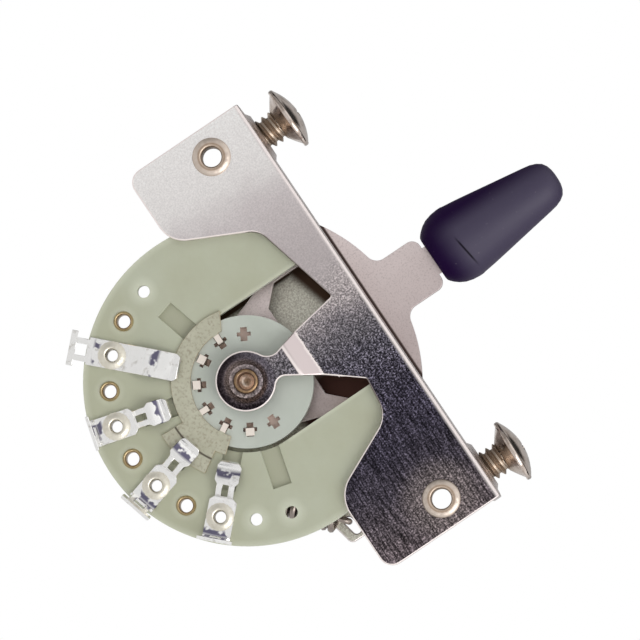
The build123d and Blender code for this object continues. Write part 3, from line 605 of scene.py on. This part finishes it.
# Woven glass, 0.45 mm from thread to thread, just felt through the resin
turn_up = add("Mapping", {"Vector": place, "Rotation": (0.0, math.radians(8), 0.0)})
yarns = []
for across in "XZ":
    yarn = add(
        "TexWave",
        {"Vector": turn_up, "Scale": 350.0, "Distortion": 0.6, "Detail": 1.0}, bands_direction=across,
    )
    yarns.append(yarn.outputs["Fac"])
cloth = add("Math", {0: yarns[0], 1: yarns[1]}, operation="MULTIPLY")
relief = add("Bump", {"Height": cloth, "Strength": 0.25, "Distance": 0.00002})
feed(shader, {
    "Base Color": board_tone, "Roughness": 0.42, "IOR": 1.55, "Subsurface Weight": 0.15,
    "Subsurface Radius": (0.0006, 0.0007, 0.0005), "Normal": relief,
})
cover(laminate, board)

# Terminal clips
# Eight springy clips pressed from 0.35 mm brass and silver plated, each riveted near the rim.
# A slit finger presses on the rotor's blade, and the lug outside the board takes the wire.
clips = []
for side in ("front", "back"):
    for part in ("common_terminal", "terminal_1", "terminal_2", "terminal_3"):
        node = f"{side}_{part}"
        clips.append(rounded_copy(node + "_clip", node, "switch_body", 0.06, 1))

# Silver plate on pressed brass: nearly white, with soft dents from forming. Violet patches on the
# contact pads and beside the heel are a painted reflection of the dark room.
silver, shader, place, add = new_material("silver_plated_spring_brass")
dents = add(
    "TexNoise",
    {"Vector": place, "Scale": 420.0, "Detail": 1.0, "Roughness": 0.4, "Distortion": 0.4},
)
sulphide = add("TexNoise", {"Vector": place, "Scale": 1300.0, "Detail": 4.0, "Roughness": 0.7})
spots = add("MapRange", {"Value": sulphide, "From Min": 0.56, "From Max": 0.74})
tone = add("Mix", {0: spots, 6: "#FBFAF8", 7: "#CFCBC4"}, data_type="RGBA")
# Painted reflection of the dark room: violet bands round the axle on the pads and beside the heel
axle = add("VectorMath", {0: place, 1: (0.0, -0.005, PIVOT_Z)}, operation="DISTANCE")
blotch = add("TexNoise", {"Vector": place, "Scale": 900.0})
patches = []
for inner, outer in ((0.0094, 0.0103), (0.0156, 0.0163)):
    middle, half = (inner + outer) / 2, (outer - inner) / 2
    off = add("Math", {0: axle, 1: middle}, operation="SUBTRACT")
    off = add("Math", {0: off}, operation="ABSOLUTE")
    band = add("MapRange", {"Value": off, "From Min": half + 0.0001, "From Max": half - 0.0002})
    patches.append(band)
dark = add("Math", {0: patches[0], 1: patches[1]}, operation="MAXIMUM")
ragged = add("MapRange", {"Value": blotch, "From Min": 0.47, "From Max": 0.53})
dark = add("Math", {0: dark, 1: ragged}, operation="MULTIPLY")
tone = add("Mix", {0: dark, 6: tone, 7: "#6E6B80"}, data_type="RGBA")
relief = add("Bump", {"Height": dents, "Strength": 0.35, "Distance": 0.0004})
feed(shader, {"Base Color": tone, "Metallic": 1.0, "Roughness": 0.2, "Normal": relief})
cover(silver, *clips)

# Front terminal rivets
# Four tubular tinned-brass rivets that hold the front clips.
# The setting tool leaves a crown of fine teeth round each flange.
RIVET_ANGLES = (-45, -15, 15, 45)
CROWN_TEETH = 20
CROWN_FOOT = 4.3
CROWN_R = 1.46
NOTCH_DEPTH = 0.09
NOTCH_SHARE = 0.965
crown_rings = [
    (0.62, 3.9), (0.62, 4.6), (0.66, 4.95), (0.78, 5.1), (0.95, 5.12), (1.15, 5.06),
    (1.34, 5.0), (1.48, 4.94), (1.49, 4.86), (0.88, 4.85), (0.88, 3.9),
]
rivet_blank = turned("tubular_rivet", crown_rings, CROWN_TEETH * 2)
for vertex in rivet_blank.data.vertices:
    r = math.hypot(vertex.co.x, vertex.co.y) / MM
    h = vertex.co.z / MM
    spoke = round(math.atan2(vertex.co.y, vertex.co.x) / (math.pi / CROWN_TEETH)) % 2
    if spoke and 0.9 < r < 1.45 and h > 4.9:
        vertex.co.z -= NOTCH_DEPTH * MM
    if spoke and r > CROWN_R:
        vertex.co.x *= NOTCH_SHARE
        vertex.co.y *= NOTCH_SHARE
rivets = []
for degrees in RIVET_ANGLES:
    copy = duplicate(rivet_blank, "rivet_copy")
    phi = math.radians(degrees)
    turn = Matrix.Rotation(math.radians(90), 4, "X") @ Matrix.Rotation(phi * 1.7, 4, "Z")
    x = HOLE_CIRCLE * math.sin(phi)
    z = PIVOT_Z - HOLE_CIRCLE * math.cos(phi)
    copy.data.transform(Matrix.Translation((x, 0, z)) @ turn)
    rivets.append(copy)
bpy.data.objects.remove(rivet_blank)
pick(*rivets)
bpy.ops.object.join()
crowned_rivets = bpy.context.active_object
crowned_rivets.name = "crowned_rivets"
far_ends = rounded_copy(
    "rivet_barrels", "front_terminal_rivets", "switch_body", 0.03, 1
)
edit(far_ends)
bpy.ops.mesh.bisect(plane_co=(0, -CROWN_FOOT * MM, 0), plane_no=(0, 1, 0), clear_inner=True)
close_edit()
pick(far_ends, crowned_rivets)
bpy.ops.object.join()
smooth(far_ends, 50)

tinned, shader, place, add = new_material("tinned_brass_crown")
pickle = add("TexNoise", {"Vector": place, "Scale": 2600.0, "Detail": 3.0, "Roughness": 0.6})
tone = add("Mix", {0: pickle, 6: "#D2CBB9", 7: "#F6F2E6"}, data_type="RGBA")
relief = add("Bump", {"Height": pickle, "Strength": 0.3, "Distance": 0.00004})
feed(shader, {"Base Color": tone, "Metallic": 1.0, "Roughness": 0.33, "Normal": relief})
cover(tinned, far_ends)

# Back terminal eyelets
# Four bare brass eyelets that hold the clips on the back, seen from the front as rings.
# Handling has left them a brown-gold, brightest on the rolled edge.
brass_eyelets = rounded_copy(
    "brass_eyelets", "back_terminal_eyelets", "switch_body", 0.04
)

brass, shader, place, add = new_material("bare_rolled_brass")
oxide = add("TexNoise", {"Vector": place, "Scale": 1500.0, "Detail": 4.0, "Roughness": 0.6})
tone = add("Mix", {0: oxide, 6: "#9A8058", 7: "#E6D2AC"}, data_type="RGBA")
worn_gloss = add("MapRange", {"Value": oxide, "To Min": 0.4, "To Max": 0.22})
feed(shader, {"Base Color": tone, "Metallic": 1.0, "Roughness": worn_gloss})
cover(brass, brass_eyelets)

# Rotor
# The insulating disc that the lever turns in the wafer's slot, moulded in milky nylon.
# Cross-shaped holes take the blades' prongs.
DISC_FACE = -4.5
CROSS_DEPTH = 0.9
HUB_R = 3.4 * MM
TAB_SIDE = (15, 135)


def fill_four_crosses(piece):
    """Brings the floors of the four crosses behind the frame's tab up to the disc's face."""
    for vertex in piece.data.vertices:
        x, y, z = vertex.co.x, vertex.co.y / MM, vertex.co.z - PIVOT_Z
        behind_tab = TAB_SIDE[0] < math.degrees(math.atan2(z, x)) < TAB_SIDE[1]
        in_cross = math.hypot(x, z) > HUB_R and DISC_FACE < y < DISC_FACE + CROSS_DEPTH
        if behind_tab and in_cross:
            vertex.co.y = DISC_FACE * MM


disc = rounded_copy(
    "rotor_disc", "rotor", "lever_set", 0.05, 1, reshape=fill_four_crosses
)

nylon, shader, place, add = new_material("milky_moulded_nylon")
flow = add("TexNoise", {"Vector": place, "Scale": 240.0, "Detail": 3.0})
tone = add("Mix", {0: flow, 6: "#B1B7AC", 7: "#C6CBC3"}, data_type="RGBA")
# The blind floors of the crosses are a pale brown
deep = add("SeparateXYZ", {0: place})
sunk = add("MapRange", {"Value": deep.outputs["Y"], "From Min": -0.0042, "From Max": -0.0039})
ahead = add("MapRange", {"Value": deep.outputs["Y"], "From Min": -0.0029, "From Max": -0.0031})
axle = add("VectorMath", {0: place, 1: (0.0, -0.0037, PIVOT_Z)}, operation="DISTANCE")
off_axle = add("MapRange", {"Value": axle, "From Min": 0.0034, "From Max": 0.0037})
on_disc = add("MapRange", {"Value": axle, "From Min": 0.0063, "From Max": 0.0061})
grease = add("Math", {0: sunk, 1: ahead}, operation="MULTIPLY")
grease = add("Math", {0: grease, 1: off_axle}, operation="MULTIPLY")
grease = add("Math", {0: grease, 1: on_disc}, operation="MULTIPLY")
tone = add("Mix", {0: grease, 6: tone, 7: "#C9B3A8"}, data_type="RGBA")
feed(shader, {
    "Base Color": tone, "Roughness": 0.32, "IOR": 1.53, "Subsurface Weight": 0.3,
    "Subsurface Radius": (0.001, 0.001, 0.001),
})
cover(nylon, disc)

# Contact blades
# Two ring sectors pressed from 0.25 mm brass and silver plated, one on each face of the rotor.
# Their prongs pass through the crosses and are clinched over on the far face.
blades = [
    rounded_copy("front_contact_blade", "front_blade", "lever_set", 0.04, 1),
    rounded_copy("back_contact_blade", "back_blade", "lever_set", 0.04, 1),
]

# Silver gone dull and grainy, nearly the board's own colour, with tan brass along its cut edges.
# The clinched ends of the back blade's prongs are near white.
dull_silver, shader, place, add = new_material("dull_silver_contact")
facing = add("SeparateXYZ", {0: place.node.outputs["Normal"]})
rub = add("TexNoise", {"Vector": place, "Scale": 520.0, "Detail": 5.0, "Roughness": 0.7})
tone = add("Mix", {0: rub, 6: "#A3A18B", 7: "#CDCCB9"}, data_type="RGBA")
fine = add("TexNoise", {"Vector": place, "Scale": 3400.0, "Roughness": 0.6})
stained = add("MapRange", {"Value": fine, "From Min": 0.5, "From Max": 0.72, "To Max": 0.6})
tone = add("Mix", {0: stained, 6: tone, 7: "#8E8270"}, data_type="RGBA")
square = add("Math", {0: facing.outputs["Y"]}, operation="ABSOLUTE")
rim = add("MapRange", {"Value": square, "From Min": 0.97, "From Max": 0.8})
tone = add("Mix", {0: rim, 6: tone, 7: "#C2A77C"}, data_type="RGBA")
hub = add("VectorMath", {0: place, 1: (0.0, -0.0048, PIVOT_Z)}, operation="DISTANCE")
clinched = add("MapRange", {"Value": hub, "From Min": 0.0058, "From Max": 0.0057})
tone = add("Mix", {0: clinched, 6: tone, 7: "#EDE3D8"}, data_type="RGBA")
# The tongue is set over a crease, drawn as a painted shadow line
across = add("MapRange", {"Value": hub, "From Min": 0.00862, "From Max": 0.00872})
past = add("MapRange", {"Value": hub, "From Min": 0.00892, "From Max": 0.00882})
crease = add("Math", {0: across, 1: past}, operation="MULTIPLY")
tone = add("Mix", {0: crease, 6: tone, 7: "#5A5348"}, data_type="RGBA")
relief = add("Bump", {"Height": fine, "Strength": 0.4, "Distance": 0.00003})
feed(shader, {"Base Color": tone, "Metallic": 0.5, "Roughness": 0.48, "Normal": relief})
cover(dull_silver, *blades)

# Pivot rivet and spacer
# A hollow brass rivet through both flanges carries the rotor and the lever.
# Its front end is rolled into the dimple, and a brass sleeve holds the lever off the rear flange.
pivot = rounded_copy("hollow_pivot_rivet", "pivot_rivet", "switch_body", 0.04)
sleeve = rounded_copy("rear_spacer_sleeve", "rear_spacer", "switch_body", 0.06)
cover(brass, sleeve)

# Tarnished brass with painted light and shade in rings: gold on the rolled rim, brown down the bore,
# grey on its floor
pivot_brass, shader, place, add = new_material("tarnished_pivot_brass")
centre = add("VectorMath", {0: place, 1: (0.0, 0.0, -PIVOT_Z)}, operation="ADD")
flat = add("VectorMath", {0: centre, 1: (1.0, 0.0, 1.0)}, operation="MULTIPLY")
radius = add("VectorMath", {0: flat}, operation="LENGTH")
share = add("MapRange", {"Value": radius, "From Max": 0.0014})
rings = add("ValToRGB", {0: share})
fill_ramp(rings, "#E8DCCB", "#4A3A28", (
    (0.14, "#FFF6EA"), (0.2, "#DCCDBB"), (0.34, "#F5E4D6"), (0.44, "#D2BAA8"), (0.55, "#EBD5C2"),
    (0.62, "#A98F7C"), (0.74, "#94795E"), (0.84, "#A38664"), (0.93, "#725B49"),
))
oxide = add("TexNoise", {"Vector": place, "Scale": 2600.0, "Detail": 3.0, "Roughness": 0.6})
grime = add(
    "MapRange", {"Value": oxide, "From Min": 0.35, "From Max": 0.7, "To Min": 0.75, "To Max": 1.2}
)
tone = add("VectorMath", {0: rings, "Scale": grime}, operation="SCALE")
feed(shader, {"Base Color": tone, "Metallic": 0.9, "Roughness": 0.35})
cover(pivot_brass, pivot)

# Lever
# Cut from 1.2 mm steel plate and nickel plated: fan, neck, window, hub and index notches.
# Its plate has a finer grain than the frame's, and stays frosty all over.
WINDOW_SPREAD = 0.95
WINDOW_ENDS = (4.2, 6.5)
WINDOW_HEIGHTS = (5.9, 13.4)


def widen_window(piece):
    """Moves both ends of the lever's window outwards."""
    for vertex in piece.data.vertices:
        x, z = vertex.co.x / MM, (vertex.co.z - PIVOT_Z) / MM
        at_end = WINDOW_ENDS[0] < abs(x) < WINDOW_ENDS[1]
        if at_end and WINDOW_HEIGHTS[0] < z < WINDOW_HEIGHTS[1]:
            vertex.co.x += math.copysign(WINDOW_SPREAD * MM, x)


lever_plate = rounded_copy(
    "lever_plate", "lever", "lever_set", 0.1, reshape=widen_window
)
arm_plate = rounded_copy("index_arm_plate", "index_arm", "index_arm_set", 0.1)

frosted, shader, place, add = new_material("frosty_plated_nickel")
grain = add("TexNoise", {"Vector": place, "Scale": 5200.0, "Roughness": 0.7})
broad = add("TexNoise", {"Vector": place, "Scale": 210.0, "Detail": 3.0})
x, _, z = add("SeparateXYZ", {0: place}).outputs
# Painted light: the plate is lighter towards the left
leftward = add("MapRange", {"Value": x, "From Min": 0.006, "From Max": -0.007})
blend = add("Mix", {0: 0.35, 2: leftward, 3: broad}, data_type="FLOAT")
tone = add("Mix", {0: blend, 6: "#BCAEAC", 7: "#EEE1DF"}, data_type="RGBA")
fleck = add(
    "MapRange", {"Value": grain, "From Min": 0.3, "From Max": 0.5, "To Min": 0.35, "To Max": 0.0}
)
tone = add("Mix", {0: fleck, 6: tone, 7: "#8D7F7D"}, data_type="RGBA")
# A painted shadow line where the plate rises through the slot, and a brown stain inside the switch
# that is partly painted shade
at_slot = add("MapRange", {"Value": z, "From Min": 0.00036, "From Max": 0.00022})
from_slot = add("MapRange", {"Value": z, "From Min": -0.0003, "From Max": -0.0001})
greasy = add("Math", {0: at_slot, 1: from_slot}, operation="MULTIPLY")
tone = add("Mix", {0: greasy, 6: tone, 7: "#4E413D"}, data_type="RGBA")
inside = add("MapRange", {"Value": z, "From Min": -0.0015, "From Max": -0.0025})
stain = add("TexNoise", {"Vector": place, "Scale": 420.0, "Detail": 4.0, "Roughness": 0.6})
stain = add("MapRange", {"Value": stain, "From Min": 0.35, "From Max": 0.65, "To Max": 0.4})
stain = add("Math", {0: stain, 1: inside}, operation="MULTIPLY")
tone = add("Mix", {0: stain, 6: tone, 7: "#8F7C70"}, data_type="RGBA")
# Painted highlight: the punched edge of the window is painted bright, with less metal
flat_normal = add("NewGeometry")
_, ny, _ = add("SeparateXYZ", {0: flat_normal.outputs["True Normal"]}).outputs
bare_edge = add("MapRange", {"Value": ny, "From Min": -0.985, "From Max": -0.95})
edge_ahead = add("MapRange", {"Value": ny, "From Min": -0.1, "From Max": -0.2})
bare_edge = add("Math", {0: bare_edge, 1: edge_ahead}, operation="MULTIPLY")
bare_edge = add("Math", {0: bare_edge, 1: inside}, operation="MULTIPLY")
tone = add("Mix", {0: bare_edge, 6: tone, 7: "#F3EAE6"}, data_type="RGBA")
metal_share = add("MapRange", {"Value": bare_edge, "To Min": 1.0, "To Max": 0.3})
relief = add("Bump", {"Height": grain, "Strength": 0.4, "Distance": 0.00003})
feed(shader, {"Base Color": tone, "Metallic": metal_share, "Roughness": 0.4, "Normal": relief})
cover(frosted, lever_plate, arm_plate)

# Steel pins and roller
# Ground steel dowels turn the rotor, and a hardened roller on its own pin clicks into the notches.
# They are bare steel, turned or ground, with a film of grease.
pins = [
    rounded_copy("drive_dowels", "drive_pins", "lever_set", 0.05),
    rounded_copy("arm_pivot_pin", "index_arm_pin", "switch_body", 0.08),
    rounded_copy("detent_roller", "index_roller", "roller_set", 0.08),
    rounded_copy("detent_roller_pin", "index_roller_pin", "index_arm_set", 0.05),
]

steel, shader, place, add = new_material("ground_bare_steel")
turning = add("TexNoise", {"Vector": place, "Scale": 2400.0, "Detail": 3.0, "Roughness": 0.6})
tone = add("Mix", {0: turning, 6: "#8F8C89", 7: "#C4C1BE"}, data_type="RGBA")
relief = add("Bump", {"Height": turning, "Strength": 0.25, "Distance": 0.00003})
feed(shader, {"Base Color": tone, "Metallic": 1.0, "Roughness": 0.28, "Normal": relief})
cover(steel, *pins)

# Knob
# A push-on tip moulded in black plastic, oval across, with a slot for the lever's blade.
# It has a satin skin, and a faint line round its widest part where the mould closed.
KNOB_FLAT = 0.8
KNOB_FOOT = 23.05
SOCKET_SIZE = (3.3 * MM, 1.3 * MM, 11.25 * MM)
SOCKET_MIDDLE = KNOB_FOOT + 5.6
knob_rings = [
    (1.9, KNOB_FOOT + 0.02), (2.3, KNOB_FOOT), (2.6, KNOB_FOOT + 0.06), (2.8, 23.25), (3.1, 23.52),
    (3.5, 24.0), (3.83, 24.6), (4.05, 25.4), (4.13, 26.2), (4.12, 26.65), (4.09, 26.72),
    (4.06, 26.9), (3.9, 28.2), (3.66, 29.8), (3.38, 31.6), (3.1, 33.4), (2.84, 35.1), (2.7, 36.0),
    (2.55, 36.8), (2.3, 37.45), (1.95, 37.95), (1.45, 38.27), (0.9, 38.43), (0.4, 38.48),
    (0.05, 38.49),
]
knob = turned("lever_tip", knob_rings, 48)
close_turned(knob)
edit(knob)
bpy.ops.transform.resize(value=(1, KNOB_FLAT, 1), center_override=(0, 0, 0))
bpy.ops.transform.translate(value=(0, 0, PIVOT_Z))
close_edit()
socket = bar("knob_socket", SOCKET_SIZE)
socket.data.transform(Matrix.Translation((0, 0, PIVOT_Z + SOCKET_MIDDLE * MM)))
cut(knob, socket)
smooth(knob, 50)
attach(knob, "lever_set")
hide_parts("knob")

black, shader, place, add = new_material("black_satin_moulding")
x, y, z = add("SeparateXYZ", {0: place}).outputs
haze = add("TexNoise", {"Vector": place, "Scale": 160.0, "Detail": 3.0})
tone = add("Mix", {0: haze, 6: "#19062C", 7: "#1F0934"}, data_type="RGBA")
# Painted sheen: lighter base colour and a higher specular level from the middle to one side and up to
# the end, and the foot stays dull
handled = add(
    "MapRange",
    {"Value": x, "From Min": -0.0031, "From Max": -0.0009}, interpolation_type="SMOOTHSTEP",
)
above_foot = add(
    "MapRange",
    {"Value": z, "From Min": 0.0085, "From Max": 0.0118}, interpolation_type="SMOOTHSTEP",
)
handled = add("Math", {0: handled, 1: above_foot}, operation="MULTIPLY")
bloom = add("Math", {0: handled, 1: 0.75}, operation="MULTIPLY")
tone = add("Mix", {0: bloom, 6: tone, 7: "#39324A"}, data_type="RGBA")
dust = add("TexNoise", {"Vector": place, "Scale": 2900.0, "Detail": 1.0})
specks = add("MapRange", {"Value": dust, "From Min": 0.74, "From Max": 0.82, "To Max": 0.3})
tone = add("Mix", {0: specks, 6: tone, 7: "#6E6672"}, data_type="RGBA")
# The short step where the two halves of the mould met
knob_front = add("MapRange", {"Value": y, "From Min": -0.0008, "From Max": -0.0012})
line_height = add("Math", {0: x, 1: 0.14, 2: 0.011}, operation="MULTIPLY_ADD")
off_line = add("Math", {0: z, 1: line_height}, operation="SUBTRACT")
off_line = add("Math", {0: off_line}, operation="ABSOLUTE")
on_line = add("MapRange", {"Value": off_line, "From Min": 0.00016, "From Max": 0.00002})
line_start = add("MapRange", {"Value": x, "From Min": -0.0006, "From Max": 0.0004})
line_end = add("MapRange", {"Value": x, "From Min": 0.0034, "From Max": 0.0022})
line_start = add("Math", {0: line_start, 1: line_end}, operation="MULTIPLY")
on_line = add("Math", {0: on_line, 1: line_start}, operation="MULTIPLY")
on_line = add("Math", {0: on_line, 1: knob_front}, operation="MULTIPLY")
shine = add("MapRange", {"Value": handled, "To Min": 0.06, "To Max": 0.55})
flank = add(
    "MapRange", {"Value": x, "From Min": 0.0006, "From Max": 0.0018, "To Min": 1.0, "To Max": 0.72}
)
shine = add("Math", {0: shine, 1: flank}, operation="MULTIPLY")
unlined = add("MapRange", {"Value": on_line, "To Min": 1.0, "To Max": 0.1})
shine = add("Math", {0: shine, 1: unlined}, operation="MULTIPLY")
tone = add("Mix", {0: on_line, 6: tone, 7: "#07040B"}, data_type="RGBA")
skin = add("TexNoise", {"Vector": place, "Scale": 2200.0})
relief = add("Bump", {"Height": skin, "Strength": 0.2, "Distance": 0.00003})
feed(shader, {"Base Color": tone, "Roughness": 0.5, "Specular IOR Level": shine, "Normal": relief})
cover(black, knob)


coil = rounded_copy("index_coil", "index_spring", None, 0.03, 1)
smooth(coil, 60)
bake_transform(coil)

wire, shader, place, add = new_material("plated_music_wire")
drawn = add("TexNoise", {"Vector": place, "Scale": 1900.0, "Detail": 3.0, "Roughness": 0.6})
tone = add("Mix", {0: drawn, 6: "#7C706A", 7: "#B5AAA2"}, data_type="RGBA")
relief = add("Bump", {"Height": drawn, "Strength": 0.2, "Distance": 0.00003})
feed(shader, {"Base Color": tone, "Metallic": 1.0, "Roughness": 0.3, "Normal": relief})
cover(wire, coil)

# Floor, light and camera
# A pale floor well below the part, soft lamps above and beside it, and a white room.
# The camera stands where the photograph's did, rolled so that the lever points up to the right.
bpy.ops.mesh.primitive_plane_add(size=1.2, location=(0, 0, -0.12))
floor = bpy.context.active_object
floor.name = "studio_floor"
paper, shader, place, add = new_material("white_paper_sweep")
clear = add("BsdfTransparent")
side = add("NewGeometry")
choose = add("MixShader", {0: side.outputs["Backfacing"], 1: shader.outputs[0], 2: clear})
feed(paper.node_tree.nodes["Material Output"], {"Surface": choose})
feed(shader, {"Base Color": "#F7F7F7", "Roughness": 0.9})
cover(paper, floor)

world = bpy.data.worlds.new("white_room")
bpy.context.scene.world = world
world.use_nodes = True
room = world.node_tree.nodes["Background"]
add = partial(add_node, world)
path = add("LightPath")
where = add("TexCoord")
to_right, to_back, to_top = add("SeparateXYZ", {0: where.outputs["Generated"]}).outputs
toward_front = add(
    "MapRange",
    {"Value": to_back, "From Min": -0.72, "From Max": -0.97, "To Min": 1.0, "To Max": 0.74},
    interpolation_type="SMOOTHSTEP",
)
from_below = add(
    "MapRange",
    {"Value": to_top, "From Min": -0.1, "From Max": -0.8, "To Min": 1.0, "To Max": 0.45},
    interpolation_type="SMOOTHSTEP",
)
up_there = add("MapRange", {"Value": to_top, "From Min": 0.1, "From Max": 0.3})
past_top = add("MapRange", {"Value": to_back, "From Min": 0.24, "From Max": 0.34})
before_back = add("MapRange", {"Value": to_back, "From Min": 0.72, "From Max": 0.62})
beam = add("Math", {0: past_top, 1: before_back}, operation="MULTIPLY")
beam = add("Math", {0: beam, 1: up_there}, operation="MULTIPLY")
beam_level = add("MapRange", {"Value": beam, "To Min": 1.0, "To Max": 0.04})
behind = add(
    "MapRange", {"Value": to_back, "From Min": 0.3, "From Max": 0.8, "To Min": 1.0, "To Max": 0.5}
)
dim_side = add(
    "MapRange",
    {"Value": to_right, "From Min": -0.15, "From Max": -0.75, "To Min": 1.0, "To Max": 0.4},
    interpolation_type="SMOOTHSTEP",
)
doorway = add("Math", {0: beam_level, 1: behind}, operation="MULTIPLY")
doorway = add("Math", {0: doorway, 1: dim_side}, operation="MULTIPLY")
studio = add("Math", {0: toward_front, 1: from_below}, operation="MULTIPLY")
studio = add("Math", {0: studio, 1: doorway}, operation="MULTIPLY")
seen = add(
    "Math",
    {0: path.outputs["Is Glossy Ray"], 1: path.outputs["Is Transmission Ray"]}, operation="MAXIMUM",
)
level = add("Mix", {0: seen, 2: 0.55, 3: studio}, data_type="FLOAT")
level = add("Mix", {0: path.outputs["Is Camera Ray"], 2: level, 3: 1.0}, data_type="FLOAT")
feed(room, {"Strength": level, "Color": (1, 1, 1, 1)})

AIM = Vector((-1.0, -5.5, -5.35)) * MM
AZIMUTH = 4.0
ELEVATION = 1.0
ROLL = 56.0
DISTANCE = 0.7
VIEW_WIDTH = 66.05 * MM


def facing_axes(azimuth, elevation, roll):
    """The right, up and back directions of a camera that looks at the part from this side."""
    a, e, r = math.radians(azimuth), math.radians(elevation), math.radians(roll)
    back = Vector((math.sin(a) * math.cos(e), -math.cos(a) * math.cos(e), math.sin(e)))
    right = Vector((math.cos(a), math.sin(a), 0))
    up = back.cross(right)
    return right * math.cos(r) + up * math.sin(r), up * math.cos(r) - right * math.sin(r), back


right, up, back = facing_axes(AZIMUTH, ELEVATION, ROLL)
for name, sideways, upward, forward, size, power in (
    ("key_softbox", -0.5, 0.55, 0.8, 0.6, 2.4),
    ("fill_softbox", 0.55, -0.4, 0.75, 0.7, 4.2),
    ("rear_softbox", 0.2, 0.7, -0.7, 0.7, 2.5),
):
    place_at = right * sideways + up * upward + back * forward
    bpy.ops.object.light_add(type="AREA", location=place_at)
    lamp = bpy.context.active_object
    lamp.name = name
    lamp.data.size = size
    lamp.data.energy = power
    lamp.visible_glossy = name == "fill_softbox"
    lamp.rotation_euler = (place_at - AIM).to_track_quat("Z", "Y").to_euler()

turn = Matrix((right, up, back)).transposed().to_euler()
bpy.ops.object.camera_add(location=AIM + back * DISTANCE, rotation=turn)
camera = bpy.context.active_object
camera.name = "photo_camera"
camera.data.sensor_width = 36.0
camera.data.lens = 36.0 * DISTANCE / VIEW_WIDTH
camera.data.clip_start = 0.01
camera.data.clip_end = 50.0
bpy.context.scene.camera = camera
bpy.context.scene.view_settings.view_transform = "Standard"

bpy.context.view_layer.update()
